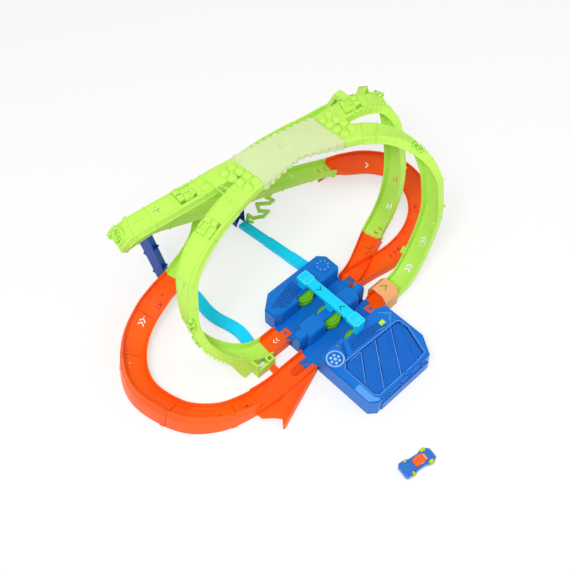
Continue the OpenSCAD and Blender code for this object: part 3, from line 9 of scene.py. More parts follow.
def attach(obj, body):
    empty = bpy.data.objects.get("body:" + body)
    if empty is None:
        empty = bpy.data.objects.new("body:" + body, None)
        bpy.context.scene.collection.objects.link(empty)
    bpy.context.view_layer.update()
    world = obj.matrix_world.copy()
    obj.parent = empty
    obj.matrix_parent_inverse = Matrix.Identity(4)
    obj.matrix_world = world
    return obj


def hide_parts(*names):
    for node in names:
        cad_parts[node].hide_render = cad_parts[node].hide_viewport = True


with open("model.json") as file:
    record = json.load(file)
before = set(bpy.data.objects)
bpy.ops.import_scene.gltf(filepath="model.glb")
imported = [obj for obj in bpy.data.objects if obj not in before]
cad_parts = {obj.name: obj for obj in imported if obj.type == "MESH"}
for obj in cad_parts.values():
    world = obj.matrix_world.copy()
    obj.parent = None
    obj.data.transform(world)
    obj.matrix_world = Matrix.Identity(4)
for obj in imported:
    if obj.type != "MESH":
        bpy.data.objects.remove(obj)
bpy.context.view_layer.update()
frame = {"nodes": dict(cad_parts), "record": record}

# ---------------------------------------------------------------- left loop
# Lime channel that climbs from the booster's left exit and turns over. Polypropylene, moulded in
# two lengths that snap together; the outside carries stiffening ribs, a cog rail, a clip housing
# at the joint and the connector block of the crossing.
MM = 0.001
HALF, WALL, RIM = 18.5, 1.8, 14.0      # half width of the running surface, wall, height of the rims
SIDE = HALF + WALL
ROAD = 10.0                            # height of the running surface where a lane meets the booster
RAIL = 1.1                             # height of the two ribs along the outside
PER_STATION = 12                       # sections of a sweep to one station of its route
CRISP = math.radians(35)               # edges sharper than this stay crisp


def route(*rows):
    """Middle of the running surface in millimetres and the direction that it faces, up if not given."""
    return [Vector(row if len(row) == 6 else (*row, 0, 0, 1)) for row in rows]


ROUTE_ONE = route(
    (-128, 36, 10), (-168, 42, 22, 0.3, 0, 1), (-206, 60, 50, 0.7, -0.1, 0.7), (-234, 84, 92, 1, -0.2, 0.3),
    (-242, 104, 145, 1, -0.2, 0.05), (-236, 113, 195, 1, -0.1, -0.2), (-224, 121, 240, 0.9, -0.1, -0.5),
    (-193, 128, 276, 0.6, 0, -0.8), (-150, 136, 297, 0.4, 0, -1), (-95, 147, 305, 0.1, 0, -1),
    (-40, 158, 304, 0, 0, -1), (20, 162, 304, 0, 0, -1), (90, 168, 304, 0, 0, -1), (150, 174, 304, 0, 0, -1),
    (210, 156, 318, -0.1, 0, -1), (250, 134, 312, -0.5, 0, -1), (259, 110, 286, -0.9, 0, -0.4),
    (256, 92, 245, -1, 0, -0.2), (251, 78, 200, -1, 0, 0), (247, 73, 150, -1, 0, 0.1),
    (243, 76, 95, -0.9, 0, 0.4), (232, 80, 52, -0.8, 0, 0.6), (204, 78, 19, -0.4, 0, 0.9), (160, 60, 11),
    (122, 44, 10), (86.3, 36, 10))


def knot(r, i):
    """Point i of a route, with one more past each end: mirrored, or level with an end on the floor."""
    if 0 <= i < len(r):
        return r[i]
    end, inner = (r[0], r[1]) if i < 0 else (r[-1], r[-2])
    if end[2] > ROAD + 0.01:
        return 2 * end - inner
    return Vector((2 * end[0] - inner[0], *end[1:]))


class Station:
    """A place along a route: middle, side, forward and up directions, and length of one station."""

    def __init__(self, r, u):
        i = max(0, min(math.floor(u), len(r) - 2))
        t = u - i
        a, b, c, d = (knot(r, k) for k in range(i - 1, i + 3))
        q, w = 2 * a - 5 * b + 4 * c - d, 3 * b - a - 3 * c + d
        p = 0.5 * (2 * b + (c - a) * t + q * t * t + w * t ** 3)
        v = Vector((0.5 * ((c - a) + 2 * q * t + 3 * w * t * t))[:3])
        self.at, self.pitch, self.fwd = Vector(p[:3]), v.length, v.normalized()
        face = Vector(p[3:])
        self.up = (face - self.fwd * face.dot(self.fwd)).normalized()
        self.side = self.fwd.cross(self.up)

    def spot(self, s, n):
        return self.at + self.side * s + self.up * n

    def ground(self, s):
        """Section coordinates of the floor below offset s, straight down within the section's plane."""
        k = self.spot(s, 0).z / (1 - self.fwd.z ** 2)
        return s - self.side.z * k, -self.up.z * k

    def matrix(self, x=0.0, y=0.0, z=0.0):
        m = Matrix((self.side, self.fwd, self.up)).transposed().to_4x4()
        m.translation = self.spot(x, z) + self.fwd * y
        return m


def eased(corners):
    """Closed outline through (x, y, radius) corners, each rounded off."""
    out = []
    steps = 3
    for i, (x, y, r) in enumerate(corners):
        p, a, b = Vector((x, y)), Vector(corners[i - 1][:2]), Vector(corners[(i + 1) % len(corners)][:2])
        if r <= 0:
            out.append(p)
            continue
        s = p + (a - p).normalized() * min(r, (a - p).length * 0.45)
        e = p + (b - p).normalized() * min(r, (b - p).length * 0.45)
        out += [s.lerp(p, t / steps).lerp(p.lerp(e, t / steps), t / steps) for t in range(steps + 1)]
    return out


def skin(bm, rings):
    """Closed skin over a row of rings, with both ends capped."""
    rows = [[bm.verts.new(p) for p in ring] for ring in rings]
    m = len(rows[0])
    for a, b in zip(rows, rows[1:]):
        for i in range(m):
            bm.faces.new((a[i], a[(i + 1) % m], b[(i + 1) % m], b[i]))
    bm.faces.new(rows[0][::-1])
    bm.faces.new(rows[-1])


def sweep(bm, r, u0, u1, shape, inset=0.15):
    """Sweep of shape(u, station), a list of section corners, between two stations of a route."""
    first, last = Station(r, u0), Station(r, u1 - 1e-6)
    u0, u1 = u0 + inset / first.pitch, u1 - inset / last.pitch
    n = max(2, math.ceil((u1 - u0) * PER_STATION))
    rings = []
    for k in range(n + 1):
        u = u0 + (u1 - u0) * k / n
        st = Station(r, u)
        rings.append([st.spot(p.x, p.y) for p in eased(shape(u, st))])
    skin(bm, rings)


def block(bm, matrix, lo, hi, soft=0.5):
    """Box with softened edges, between two corners of a placed frame."""
    lo, hi = Vector(lo), Vector(hi)
    size = hi - lo
    place = matrix @ Matrix.Translation((lo + hi) / 2) @ Matrix.Diagonal((*size, 1))
    made = bmesh.ops.create_cube(bm, size=1, matrix=place)
    if soft > 0:
        edges = list({e for v in made["verts"] for e in v.link_edges})
        bmesh.ops.bevel(bm, geom=edges, offset=min(soft, min(size) * 0.4), segments=2, profile=0.6,
                        affect="EDGES", clamp_overlap=True)


def blocks(bm, matrix, soft, *boxes):
    """Several boxes in one placed frame, each (x0, y0, z0, x1, y1, z1)."""
    for box in boxes:
        block(bm, matrix, box[:3], box[3:], soft)


def finish_mesh(name, bm, look=None):
    """Object from a bmesh drawn in millimetres: faces outward, smooth with crisp corners."""
    bmesh.ops.recalc_face_normals(bm, faces=bm.faces)
    bmesh.ops.scale(bm, vec=(MM, MM, MM), verts=bm.verts)
    mesh = bpy.data.meshes.new(name)
    bm.to_mesh(mesh)
    bm.free()
    if look:
        mesh.materials.append(look)
    mesh.shade_smooth()
    mesh.set_sharp_from_angle(angle=CRISP)
    obj = bpy.data.objects.new(name, mesh)
    bpy.context.scene.collection.objects.link(obj)
    return obj


def with_more(bm, *others):
    """Adds the other bmeshes to the first one and frees them."""
    for other in others:
        mesh = bpy.data.meshes.new("joined")
        other.to_mesh(mesh)
        bm.from_mesh(mesh)
        bpy.data.meshes.remove(mesh)
        other.free()
    return bm


def join_onto(obj, trim):
    """Adds the mesh of trim to obj and removes trim."""
    joined = bmesh.new()
    joined.from_mesh(obj.data)
    joined.from_mesh(trim.data)
    joined.to_mesh(obj.data)
    joined.free()
    bpy.data.objects.remove(trim)
    obj.data.set_sharp_from_angle(angle=CRISP)


def carve(obj, *steps):
    """Applies exact booleans in turn; each step is (operation, bmesh, ...) with bmeshes in millimetres."""
    tools = []
    for operation, *parts in steps:
        tool = finish_mesh("tool", with_more(*parts))
        tools.append(tool)
        mod = obj.modifiers.new("carve", "BOOLEAN")
        mod.solver = "EXACT"
        mod.operation = operation
        mod.object = tool
        mod.use_self = True
    bpy.context.view_layer.update()
    shaped = bpy.data.meshes.new_from_object(obj.evaluated_get(bpy.context.evaluated_depsgraph_get()))
    shaped.name = obj.name
    obj.modifiers.clear()
    obj.data = shaped
    shaped.shade_smooth()
    shaped.set_sharp_from_angle(angle=CRISP)
    for tool in tools:
        bpy.data.objects.remove(tool)
    return obj


def trough(half=HALF, left=RIM, right=RIM, lip=0.8, rail=0.0):
    """Section of an open channel: rounded outside corners, a small bead along both rims.

    rail is the height of the two stiffening ribs that run along the outside.
    """
    o = half + WALL
    rib = ((o - 3.4, 0), (o - 3.4, rail), (o - 5.0, rail), (o - 5.0, 0))
    ribs = [(d * x, -WALL - y, 0) for d in (-1, 1) for x, y in rib[::-d]] if rail else []
    return [(-o, -WALL, 2.6), *ribs, (o, -WALL, 2.6), (o, right - 2.8, 0.3), (o + lip, right - 2.1, 0.4),
            (o + lip, right, 0.7), (half, right, 0.5), (half, 0, 1.7), (-half, 0, 1.7), (-half, left, 0.5),
            (-o - lip, left, 0.7), (-o - lip, left - 2.1, 0.4), (-o, left - 2.8, 0.3)]


def holes(r, *list_of):
    """Cutters for openings through the running surface: (u, across, width, length)."""
    bm = bmesh.new()
    for u, x, w, l in list_of:
        block(bm, Station(r, u).matrix(x), (-w / 2, -l / 2, -WALL - 6), (w / 2, l / 2, 3), 0.6)
    return bm


def clip(bm, r, u):
    """Open clip housing on the outside of a joint, with its two moulded ribs."""
    blocks(bm, Station(r, u).matrix(), 0.4, (-11, -6, -6.8, 11, -3.6, -1), (-11, 3.6, -6.8, 11, 6, -1),
           (-11, -6, -6.8, -8.6, 6, -1), (8.6, -6, -6.8, 11, 6, -1),
           (-3.4, -5, -5.6, -1.8, 5, -1), (1.8, -5, -5.6, 3.4, 5, -1))


def collar(bm, r, u):
    """Sleeve around the end of a channel that the next piece pushes into."""
    m = Station(r, u).matrix()
    o = SIDE + 1.6
    block(bm, m, (-o, -6.3, -3.4), (o, -0.3, -1.2), 0.5)
    for d in (-1, 1):
        a, b = sorted((d * (SIDE - 0.4), d * o))
        block(bm, m, (a, -6.3, -3.2), (b, -0.3, RIM - 1), 0.5)


def teeth(bm, r, u0, u1, count, d):
    """Row of pointed teeth along an outer edge, like a cog rail."""
    for k in range(count):
        m = Station(r, u0 + (u1 - u0) * k / (count - 1)).matrix(d * (HALF - 0.6), 0, -WALL - 1.4)
        block(bm, m @ Matrix.Rotation(math.pi / 4, 4, "Z"), (-2.4, -2.4, -2.2), (2.4, 2.4, 2.2), 0.35)


def cross_ribs(bm, r, *places):
    """Low ribs across the outside of a channel, from rim to rim, at each of the given stations."""
    o = SIDE + 0.9
    for u in places:
        m = Station(r, u).matrix()
        block(bm, m, (-o, -0.9, -WALL - 1.3), (o, 0.9, -WALL + 0.5), 0.4)
        for d in (-1, 1):
            a, b = sorted((d * (SIDE - 0.5), d * o))
            block(bm, m, (a, -0.9, -WALL - 0.6), (b, 0.9, RIM - 3), 0.4)


def frame_block(bm, r, u):
    """Raised connector block on the outside, with two open wells and a rib between them."""
    blocks(bm, Station(r, u).matrix(), 0.5, (-15, -15, -8.8, -12, 15, -1), (12, -15, -8.8, 15, 15, -1),
           (-3, -15, -8.8, 0.5, 15, -1), (-15, 5, -8.8, 0, 15, -1), (0, -15, -8.8, 15, -9, -1),
           (0, 6, -8.8, 15, 15, -1), (-15, -15, -4.2, 15, 15, -1))


def edge_box(bm, r, u, d, length=24):
    """Open clip box standing on one edge of the outside, with a keyed pad beside it."""
    m = Station(r, u).matrix()
    h = length / 2
    a, b = sorted((d * (SIDE - 2), d * (SIDE + 5.5)))
    blocks(bm, m, 0.4, (a, -h, -8, b, h, -5.8), (a, -h, -8, b, -h + 2, 3), (a, h - 2, -8, b, h, 3),
           (a, -1.2, -8, b, 1.2, 3), (a, -h, 0.6, b, h, 3))
    a, b = sorted((d * 4, d * 13))
    block(bm, m, (a, -h * 0.9, -3.4), (b, h * 0.9, -1.2), 1.0)


def wedge_foot(bm, r):
    """Moulded wedge that props the first bend on the floor."""
    start, stop, last = 0.65, 1.9, 12
    rings = []
    for k in range(last + 1):
        u = start + (stop - start) * k / last
        t = max(0.04, min((u - start) / 0.8, (stop - u) / 0.45))
        st = Station(r, u)
        edge = st.spot(-SIDE, -WALL + 0.4)
        toe = Vector((edge.x, edge.y - 10 * t, edge.z * (1 - t) + 0.2))
        rings.append([edge, st.spot(-SIDE + 16, -WALL + 0.4), toe])
    skin(bm, rings)


# Every plastic comes from a polished steel mould: the colour drifts a little through the wall,
# the skin has a fine grain, and corners that are handled catch more light.
def shared_group(name, inputs, outputs):
    group = bpy.data.node_groups.new(name, "ShaderNodeTree")
    for kind, label, default in inputs:
        group.interface.new_socket(label, in_out="INPUT", socket_type=kind).default_value = default
    for kind, label in outputs:
        group.interface.new_socket(label, in_out="OUTPUT", socket_type=kind)
    return group, group.nodes.new("NodeGroupInput"), group.nodes.new("NodeGroupOutput")


def shader_node(tree, kind, **inputs):
    """Adds a node to a tree. Each input is a plain value or the output that feeds it."""
    node = tree.nodes.new("ShaderNode" + kind)
    for label, value in inputs.items():
        socket = node.inputs[label.replace("_", " ")]
        if isinstance(value, bpy.types.NodeSocket):
            tree.links.new(value, socket)
        else:
            socket.default_value = value
    return node


def noise(tree, coords, scale, detail, rough):
    node = shader_node(tree, "TexNoise", Vector=coords, Scale=scale, Detail=detail, Roughness=rough)
    return node.outputs["Fac"]


def math_node(tree, op, a, b):
    node = shader_node(tree, "Math")
    node.operation = op
    for socket, value in zip(node.inputs, (a, b)):
        if isinstance(value, bpy.types.NodeSocket):
            tree.links.new(value, socket)
        else:
            socket.default_value = value
    return node.outputs[0]


def make_flow_group():
    """Colour drift of moulded plastic: broad flow clouds and a fine pigment mottle."""
    g, gi, go = shared_group("mould_flow", [("NodeSocketColor", "Color", (0.5, 0.5, 0.5, 1)),
                                            ("NodeSocketFloat", "Amount", 0.06)],
                             [("NodeSocketColor", "Color")])
    coords = shader_node(g, "TexCoord").outputs["Object"]
    cloud = noise(g, coords, 9.0, 4.0, 0.6)
    mottle = noise(g, coords, 420.0, 2.0, 0.5)
    both = math_node(g, "ADD", math_node(g, "MULTIPLY", cloud, 0.75),
                     math_node(g, "MULTIPLY", mottle, 0.25))
    signed = math_node(g, "SUBTRACT", both, 0.5)
    lift = math_node(g, "ADD", math_node(g, "MULTIPLY", signed, gi.outputs["Amount"]), 1.0)
    hue = math_node(g, "ADD", math_node(g, "MULTIPLY", signed, 0.02), 0.5)
    hsv = shader_node(g, "HueSaturation", Color=gi.outputs["Color"], Value=lift, Hue=hue)
    g.links.new(hsv.outputs["Color"], go.inputs["Color"])
    return g


def make_skin_group():
    """Normal of a moulded skin: eased corners, faint sink waves and a fine grain."""
    g, gi, go = shared_group("mould_skin", [("NodeSocketFloat", "Corner", 0.0006),
                                            ("NodeSocketFloat", "Grain", 0.05)],
                             [("NodeSocketVector", "Normal")])
    coords = shader_node(g, "TexCoord").outputs["Object"]
    corner = shader_node(g, "Bevel", Radius=gi.outputs["Corner"])
    corner.samples = 4
    waves = shader_node(g, "Bump", Distance=0.0004, Strength=0.06, Height=noise(g, coords, 38.0, 2.0, 0.4),
                        Normal=corner.outputs["Normal"])
    grain = shader_node(g, "Bump", Distance=0.0001, Strength=gi.outputs["Grain"],
                        Height=noise(g, coords, 1800.0, 2.0, 0.6), Normal=waves.outputs["Normal"])
    g.links.new(grain.outputs["Normal"], go.inputs["Normal"])
    return g


def make_rub_group():
    """Roughness of a surface that cars and hands have rubbed: polished patches and hairlines."""
    g, gi, go = shared_group("rubbed_gloss", [("NodeSocketFloat", "Roughness", 0.35),
                                              ("NodeSocketFloat", "Spread", 0.1)],
                             [("NodeSocketFloat", "Roughness")])
    coords = shader_node(g, "TexCoord").outputs["Object"]
    patch = noise(g, coords, 24.0, 5.0, 0.65)
    hair = shader_node(g, "TexWave", Vector=coords, Scale=160.0, Distortion=9.0, Detail=3.0).outputs["Fac"]
    lines = shader_node(g, "MapRange", Value=hair, From_Min=0.92)
    mixed = math_node(g, "ADD", math_node(g, "SUBTRACT", patch, 0.5),
                      math_node(g, "MULTIPLY", lines.outputs[0], 0.25))
    rough = math_node(g, "ADD", gi.outputs["Roughness"],
                      math_node(g, "MULTIPLY", mixed, gi.outputs["Spread"]))
    g.links.new(shader_node(g, "Clamp", Value=rough, Min=0.03).outputs[0], go.inputs["Roughness"])
    return g


FLOW, SKIN, RUB = make_flow_group(), make_skin_group(), make_rub_group()


def use_group(tree, group, **values):
    node = shader_node(tree, "Group")
    node.node_tree = group
    for label, value in values.items():
        node.inputs[label].default_value = value
    return node


def plastic(name, color, rough=0.34, drift=0.16, grain=0.08, **fixed):
    """Moulded plastic of one colour. fixed sets further inputs of the Principled shader."""
    mat = bpy.data.materials.new(name)
    mat.use_nodes = True
    tree = mat.node_tree
    shader = tree.nodes["Principled BSDF"]
    flow = use_group(tree, FLOW, Color=(*color, 1.0), Amount=drift)
    skin_normal = use_group(tree, SKIN, Corner=0.0006, Grain=grain)
    rub = use_group(tree, RUB, Roughness=rough, Spread=0.12)
    tree.links.new(flow.outputs["Color"], shader.inputs["Base Color"])
    tree.links.new(skin_normal.outputs["Normal"], shader.inputs["Normal"])
    tree.links.new(rub.outputs["Roughness"], shader.inputs["Roughness"])
    shader.inputs["Specular IOR Level"].default_value = 0.28
    for label, value in fixed.items():
        shader.inputs[label.replace("_", " ")].default_value = value
    return mat


node_slot = {part["node"]: part["material_slot"] for part in frame["record"]["subparts"]}


def dress(slot, look):
    """Gives every CAD node of one material slot its look."""
    for name, obj in frame["nodes"].items():
        if node_slot[name] == slot:
            obj.data.materials.clear()
            obj.data.materials.append(look)
    return look


def stand_for(obj, node, body="set"):
    """Shows a piece in place of its CAD node."""
    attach(obj, body)
    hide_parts(node)


def detail(name, bm, look, slot, body="set"):
    """Shows a small piece that no CAD node holds."""
    obj = finish_mesh(name, bm, look)
    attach(obj, body)


LIME = dress("lime_plastic", plastic("lime_track", (0.51, 0.83, 0.11), 0.38))


def track(name, r, u0, u1, cut=None, add=()):
    """One moulded lime channel in place of its CAD node, with its outside features and openings."""
    bm = bmesh.new()
    sweep(bm, r, u0, u1, lambda u, st: trough(rail=RAIL))
    obj = finish_mesh(name + "_moulding", bm, LIME)
    if cut:
        carve(obj, ("DIFFERENCE", cut))
    extra = bmesh.new()
    for make, *args in add:
        make(extra, r, *args)
    join_onto(obj, finish_mesh(name + "_trim", extra, LIME))
    stand_for(obj, name)


track("loop_one_low", ROUTE_ONE, 0, 4, holes(ROUTE_ONE, (1.1, 6, 3, 5), (1.1, -6, 3, 5)),
      [(cross_ribs, 1.9, 2.95), (wedge_foot,), (teeth, 1.8, 3.0, 8, -1), (clip, 3.2), (collar, 4)])
track("loop_one_high", ROUTE_ONE, 4, 8.9, holes(ROUTE_ONE, (5.75, -3, 2.2, 12), (5.3, 3.5, 2.2, 4)),
      [(cross_ribs, 4.9, 5.9, 7.7), (edge_box, 4.25, -1), (frame_block, 7.9)])

# ---------------------------------------------------------------- right loop
# The second lime channel rises from the tunnel on the booster's right. Arrow windows, side pads
# and pegged joints are moulded into it, and it snaps together like the left one.
ROUTE_TWO = route(
    (128, -36, 10), (168, -36, 21, -0.3, 0, 1), (205, -31, 52, -0.7, 0, 0.7), (232, -27, 98, -1, 0, 0.3),
    (246, -24, 150, -1, 0, 0), (248, -16, 200, -1, 0, -0.2), (246, -4, 245, -0.9, -0.1, -0.5),
    (236, 24, 286, -0.6, -0.2, -0.9), (214, 66, 306, -0.3, -0.2, -1), (186, 102, 307, 0, -0.1, -1),
    (150, 128, 304, 0, 0, -1), (70, 160, 304, 0, 0, -1), (0, 192, 304, 0, 0, -1), (-60, 204, 304, 0, 0, -1),
    (-120, 208, 304, 0, 0, -1), (-195, 215, 304, 0, 0, -1), (-244, 222, 300, 0.2, 0, -1),
    (-264, 236, 274, 0.8, 0, -0.6), (-260, 250, 244, 1, 0, 0.2), (-232, 264, 221, 0.5, 0, 1),
    (-180, 275, 200), (-100, 275, 165), (0, 270, 128), (96, 264, 100), (174, 257, 75), (250, 246, 50),
    (286, 236, 42, -0.2, -0.3, 1), (326, 214, 37, -0.4, -0.3, 1), (356, 180, 32, -0.5, -0.1, 1),
    (366, 140, 28, -0.5, 0.1, 1), (359, 98, 23, -0.4, 0.3, 1), (332, 60, 18, -0.3, 0.4, 1),
    (287, 34, 14, -0.1, 0.3, 1), (236, 22, 12), (190, 21, 10.5), (140, 30, 10), (86.3, 36, 10))


def joint_ribs(bm, r, u):
    """Stop ribs just inside the end of a piece, seen from the running side."""
    m = Station(r, u).matrix()
    for x in (-9, -3, 3, 9):
        block(bm, m, (x - 0.8, -6, -0.6), (x + 0.8, 0, 0.7), 0.25)


def pad(bm, r, u, lo, hi, soft):
    """Plain pad or rib on a channel."""
    block(bm, Station(r, u).matrix(), lo, hi, soft)


def arrow_holes(r, *places):
    """Cutters for the arrow-shaped windows that point along the lane."""
    bm = bmesh.new()
    tip, notch = (0, 4.4), (0, 1.6)
    for u in places:
        m = Station(r, u).matrix()
        for half in (((-4.5, 0), (-4.5, -2.6), notch, tip), (tip, notch, (4.5, -2.6), (4.5, 0))):
            apart = math.copysign(0.001, sum(x for x, y in half))
            skin(bm, [[m @ Vector((x + apart, y, z)) for x, y in half] for z in (-WALL - 1, 2)])
    return bm


track("loop_two_low", ROUTE_TWO, 0, 4.5,
      with_more(arrow_holes(ROUTE_TWO, 1.45, 1.62, 2.45, 2.62),
                holes(ROUTE_TWO, (3.5, 6, 3, 4), (3.85, 6, 3, 3))),
      [(cross_ribs, 2.2, 3.9), (collar, 4.5), (clip, 1.2), (joint_ribs, 3.3),
       (pad, 2, (-SIDE - 11, -7, -4), (-SIDE + 0.9, 7, 6), 0.8)])
track("loop_two_high", ROUTE_TWO, 4.5, 9.3,
      holes(ROUTE_TWO, (4.9, 8, 2.6, 2.6), (5.15, 8, 2.6, 2.6), (6.1, 8, 2.4, 2.4)),
      [(cross_ribs, 5.7, 6.6, 8.7), (teeth, 6.9, 8.2, 8, 1), (edge_box, 7.2, 1, 20)])

# ---------------------------------------------------------------- crossing over the top
# Both loops run upside down through one crossing: two lime ends with domed connector lobes, and a
# wide clear deck between them with scalloped rims, so that the cars can be seen passing. The three
# mouldings are pushed together.
CROSS_0, CROSS_1 = -30.0, 138.0        # ends of the clear deck
ROOF = 304.0                           # inside of the deck's roof, where the inverted lanes run
LIME_CLEAR = dress("lime_clear", plastic("clear_lime", (0.78, 0.90, 0.50), 0.30,
                                         Transmission_Weight=0.30, IOR=1.25))


def filled(u, st):
    return [(-SIDE, -WALL, 3), (SIDE, -WALL, 3), (SIDE, RIM, 0.8), (-SIDE, RIM, 0.8)]


def inside(u, st):
    top = RIM + 30
    return [(-HALF, 0, 1.7), (HALF, 0, 1.7), (HALF, top, 0), (-HALF, top, 0)]


def lane_space(lanes):
    """Cutter for the space that the cars need, a little past both ends of each lane."""
    bm = bmesh.new()
    for r, a, b in lanes:
        sweep(bm, r, a - 0.03, b + 0.03, inside, inset=0)
    return bm


def drum(bm, matrix, r0, r1, height, soft=0.0, sides=40):
    """Upright round body from the frame's origin, with a softened upper rim."""
    place = matrix @ Matrix.Translation((0, 0, height / 2))
    made = bmesh.ops.create_cone(bm, cap_ends=True, segments=sides, radius1=r0, radius2=r1, depth=height,
                                 matrix=place)
    if soft > 0:
        inverse = matrix.inverted()
        top = [e for e in {e for v in made["verts"] for e in v.link_edges}
               if all((inverse @ v.co).z > height * 0.9 for v in e.verts)]
        bmesh.ops.bevel(bm, geom=top, offset=soft, segments=4, profile=0.5, affect="EDGES")


def spun(angle, x=0.0, y=0.0, z=0.0):
    """Place at (x, y, z), turned about the vertical by an angle in radians."""
    return Matrix.Translation((x, y, z)) @ Matrix.Rotation(angle, 4, "Z")


def cross_end(name, one, two, x0, x1, extra):
    """End of the crossing between x0 and x1: both channels as one block, with its connectors."""
    bm = bmesh.new()
    sweep(bm, ROUTE_ONE, *one, filled, inset=0)
    obj = finish_mesh(name + "_moulding", bm, LIME)
    second = bmesh.new()
    sweep(second, ROUTE_TWO, *two, filled, inset=0)
    slab = bmesh.new()
    block(slab, Matrix(), (x0, -400, -10), (x1, 600, 700), 0)
    clear = lane_space(((ROUTE_ONE, *one), (ROUTE_TWO, *two)))
    carve(obj, ("UNION", second), ("UNION", extra), ("DIFFERENCE", clear), ("INTERSECT", slab))
    stand_for(obj, name)


def lobes(x, y, turn):
    """Two rows of domed connector lobes across the lanes."""
    bm = bmesh.new()
    middle = spun(math.radians(turn), x, y, ROOF + 0.4)
    for i in (-1, 1):
        for j in range(4):
            drum(bm, middle @ Matrix.Translation((i * 9.4, (j - 1.5) * 17, 0)), 9.2, 8.6, 7.2, 4.6, 32)
    return bm


def bar(bm, a, b, w, z0, z1, soft=0.25, past=0.5):
    """Straight rib between two plan points, which it passes by a share of its width."""
    a, b = Vector(a), Vector(b)
    d = b - a
    block(bm, spun(math.atan2(d.y, d.x), *a), (-w * past, -w / 2, z0), (d.length + w * past, w / 2, z1), soft)


def plan_ribs(top, *lines):
    """Straight ribs on top of the crossing, each from one plan point to another."""
    bm = bmesh.new()
    for x0, y0, x1, y1 in lines:
        bar(bm, (x0, y0), (x1, y1), 1.8, ROOF + 1, top, 0.4, 0)
    return bm


# Edges of the clear deck in plan, from left to right, just outside the walls of the lanes beside them
DECK_FRONT = ((CROSS_0, 138.4), (58.0, 142.5), (CROSS_1, 112.2))
DECK_BACK = ((CROSS_0, 218.8), (58.0, 208.3), (CROSS_1, 193.3))


def edge_at(edge, x):
    (x0, y0), (x1, y1) = edge[:2] if x < edge[1][0] else edge[1:]
    return y0 + (y1 - y0) * (x - x0) / (x1 - x0)


def deck_outline(past, shrink, bump):
    """Plan of the clear deck between its straight ends, with scallops of height bump along both edges."""
    x0, x1 = CROSS_0 + 0.2 - past, CROSS_1 - 0.2 + past
    n = 100 if bump else 20
    out = []
    for edge, d in ((DECK_FRONT, -1), (DECK_BACK, 1)):
        row = []
        for k in range(n + 1):
            t = k / n
            x = x0 + (x1 - x0) * t
            row.append((x, edge_at(edge, x) + d * (abs(math.sin(math.pi * 12 * t)) * bump - shrink)))
        out += row[::-d]
    return out


def plate(bm, outline, z0, z1):
    """Flat plate with a plan outline, between two heights."""
    skin(bm, [[Vector((x, y, z)) for x, y in outline] for z in (z0, z1)])
    return bm


cross_end("cross_left", (8.9, 10.4), (12.2, 13.6), -250, CROSS_0 - 0.15, with_more(
    lobes(CROSS_0 - 20, 176, 8),
    plan_ribs(308.2, (-97, 226, -92, 130), (-86, 186, -74, 150), (-86, 220, -72, 222), (-105, 206, -97, 206),
              (-100, 146, -94, 146))))
cross_end("cross_right", (12.5, 13.4), (9.3, 10.4), CROSS_1 + 0.15, 250, with_more(
    lobes(157, 152, 6), plan_ribs(307.4, (139.5, 188, 141, 114), (172, 190, 176, 108))))
clear_deck = finish_mesh("cross_clear_moulding",
                         plate(bmesh.new(), deck_outline(0, 0, 4.2), 290.4, 305.6), LIME_CLEAR)
hollow = plate(bmesh.new(), deck_outline(2, WALL, 0), 280, ROOF)
# The lower edge of the front wall is arched between two feet
arch_half, arch_rise, arch_foot = 76, 9, 290
arch_r = (arch_half ** 2 + arch_rise ** 2) / (2 * arch_rise)
arch = bmesh.new()
arch_centre = Matrix.Translation((54, 102, arch_foot + arch_rise - arch_r))
drum(arch, arch_centre @ Matrix.Rotation(-math.pi / 2, 4, "X"), arch_r, arch_r, 42.3, sides=180)
round_mark = bmesh.new()
drum(round_mark, Matrix.Translation((58, 175.4, ROOF + 1)), 12, 11.2, 2.6, 0.8)
carve(clear_deck, ("DIFFERENCE", hollow), ("DIFFERENCE", arch), ("UNION", round_mark))
stand_for(clear_deck, "cross_clear")


# ---------------------------------------------------------------- upper band, tip and return
# Past the crossing the second lane runs out over the left end, turns down round the tip and comes
# back below itself to the right curve. Four lime mouldings, each pushed into the collar of the last.
def serration(bm, r, u):
    """Zigzag lip with which the end of one track laps over the next."""
    m = Station(r, u).matrix()
    for k in range(7):
        tooth = m @ spun(math.pi / 4, -15 + 5 * k)
        block(bm, tooth, (-1.9, -1.9, -0.8), (1.9, 1.9, 0.6), 0.2)


def around(bm, centre, count, soft, *box):
    """Ring of like boxes, each (x0, y0, z0, x1, y1, z1) turned about the centre."""
    for k in range(count):
        block(bm, centre @ spun(math.tau * k / count), box[:3], box[3:], soft)


def tip_boss(bm, r, u):
    """Toothed round boss with a framed cross on the outside of the tip."""
    m = Station(r, u).matrix(0, 0, -WALL - 4)
    around(bm, m, 24, 0.5, 11.2, -2.2, 0, 15, 2.2, 4.6)
    blocks(bm, m, 0.4, (-8, -8, 0, 8, -6.4, 4), (-8, 6.4, 0, 8, 8, 4), (-8, -8, 0, -6.4, 8, 4),
           (6.4, -8, 0, 8, 8, 4), (-0.7, -8, 1, 0.7, 8, 4))


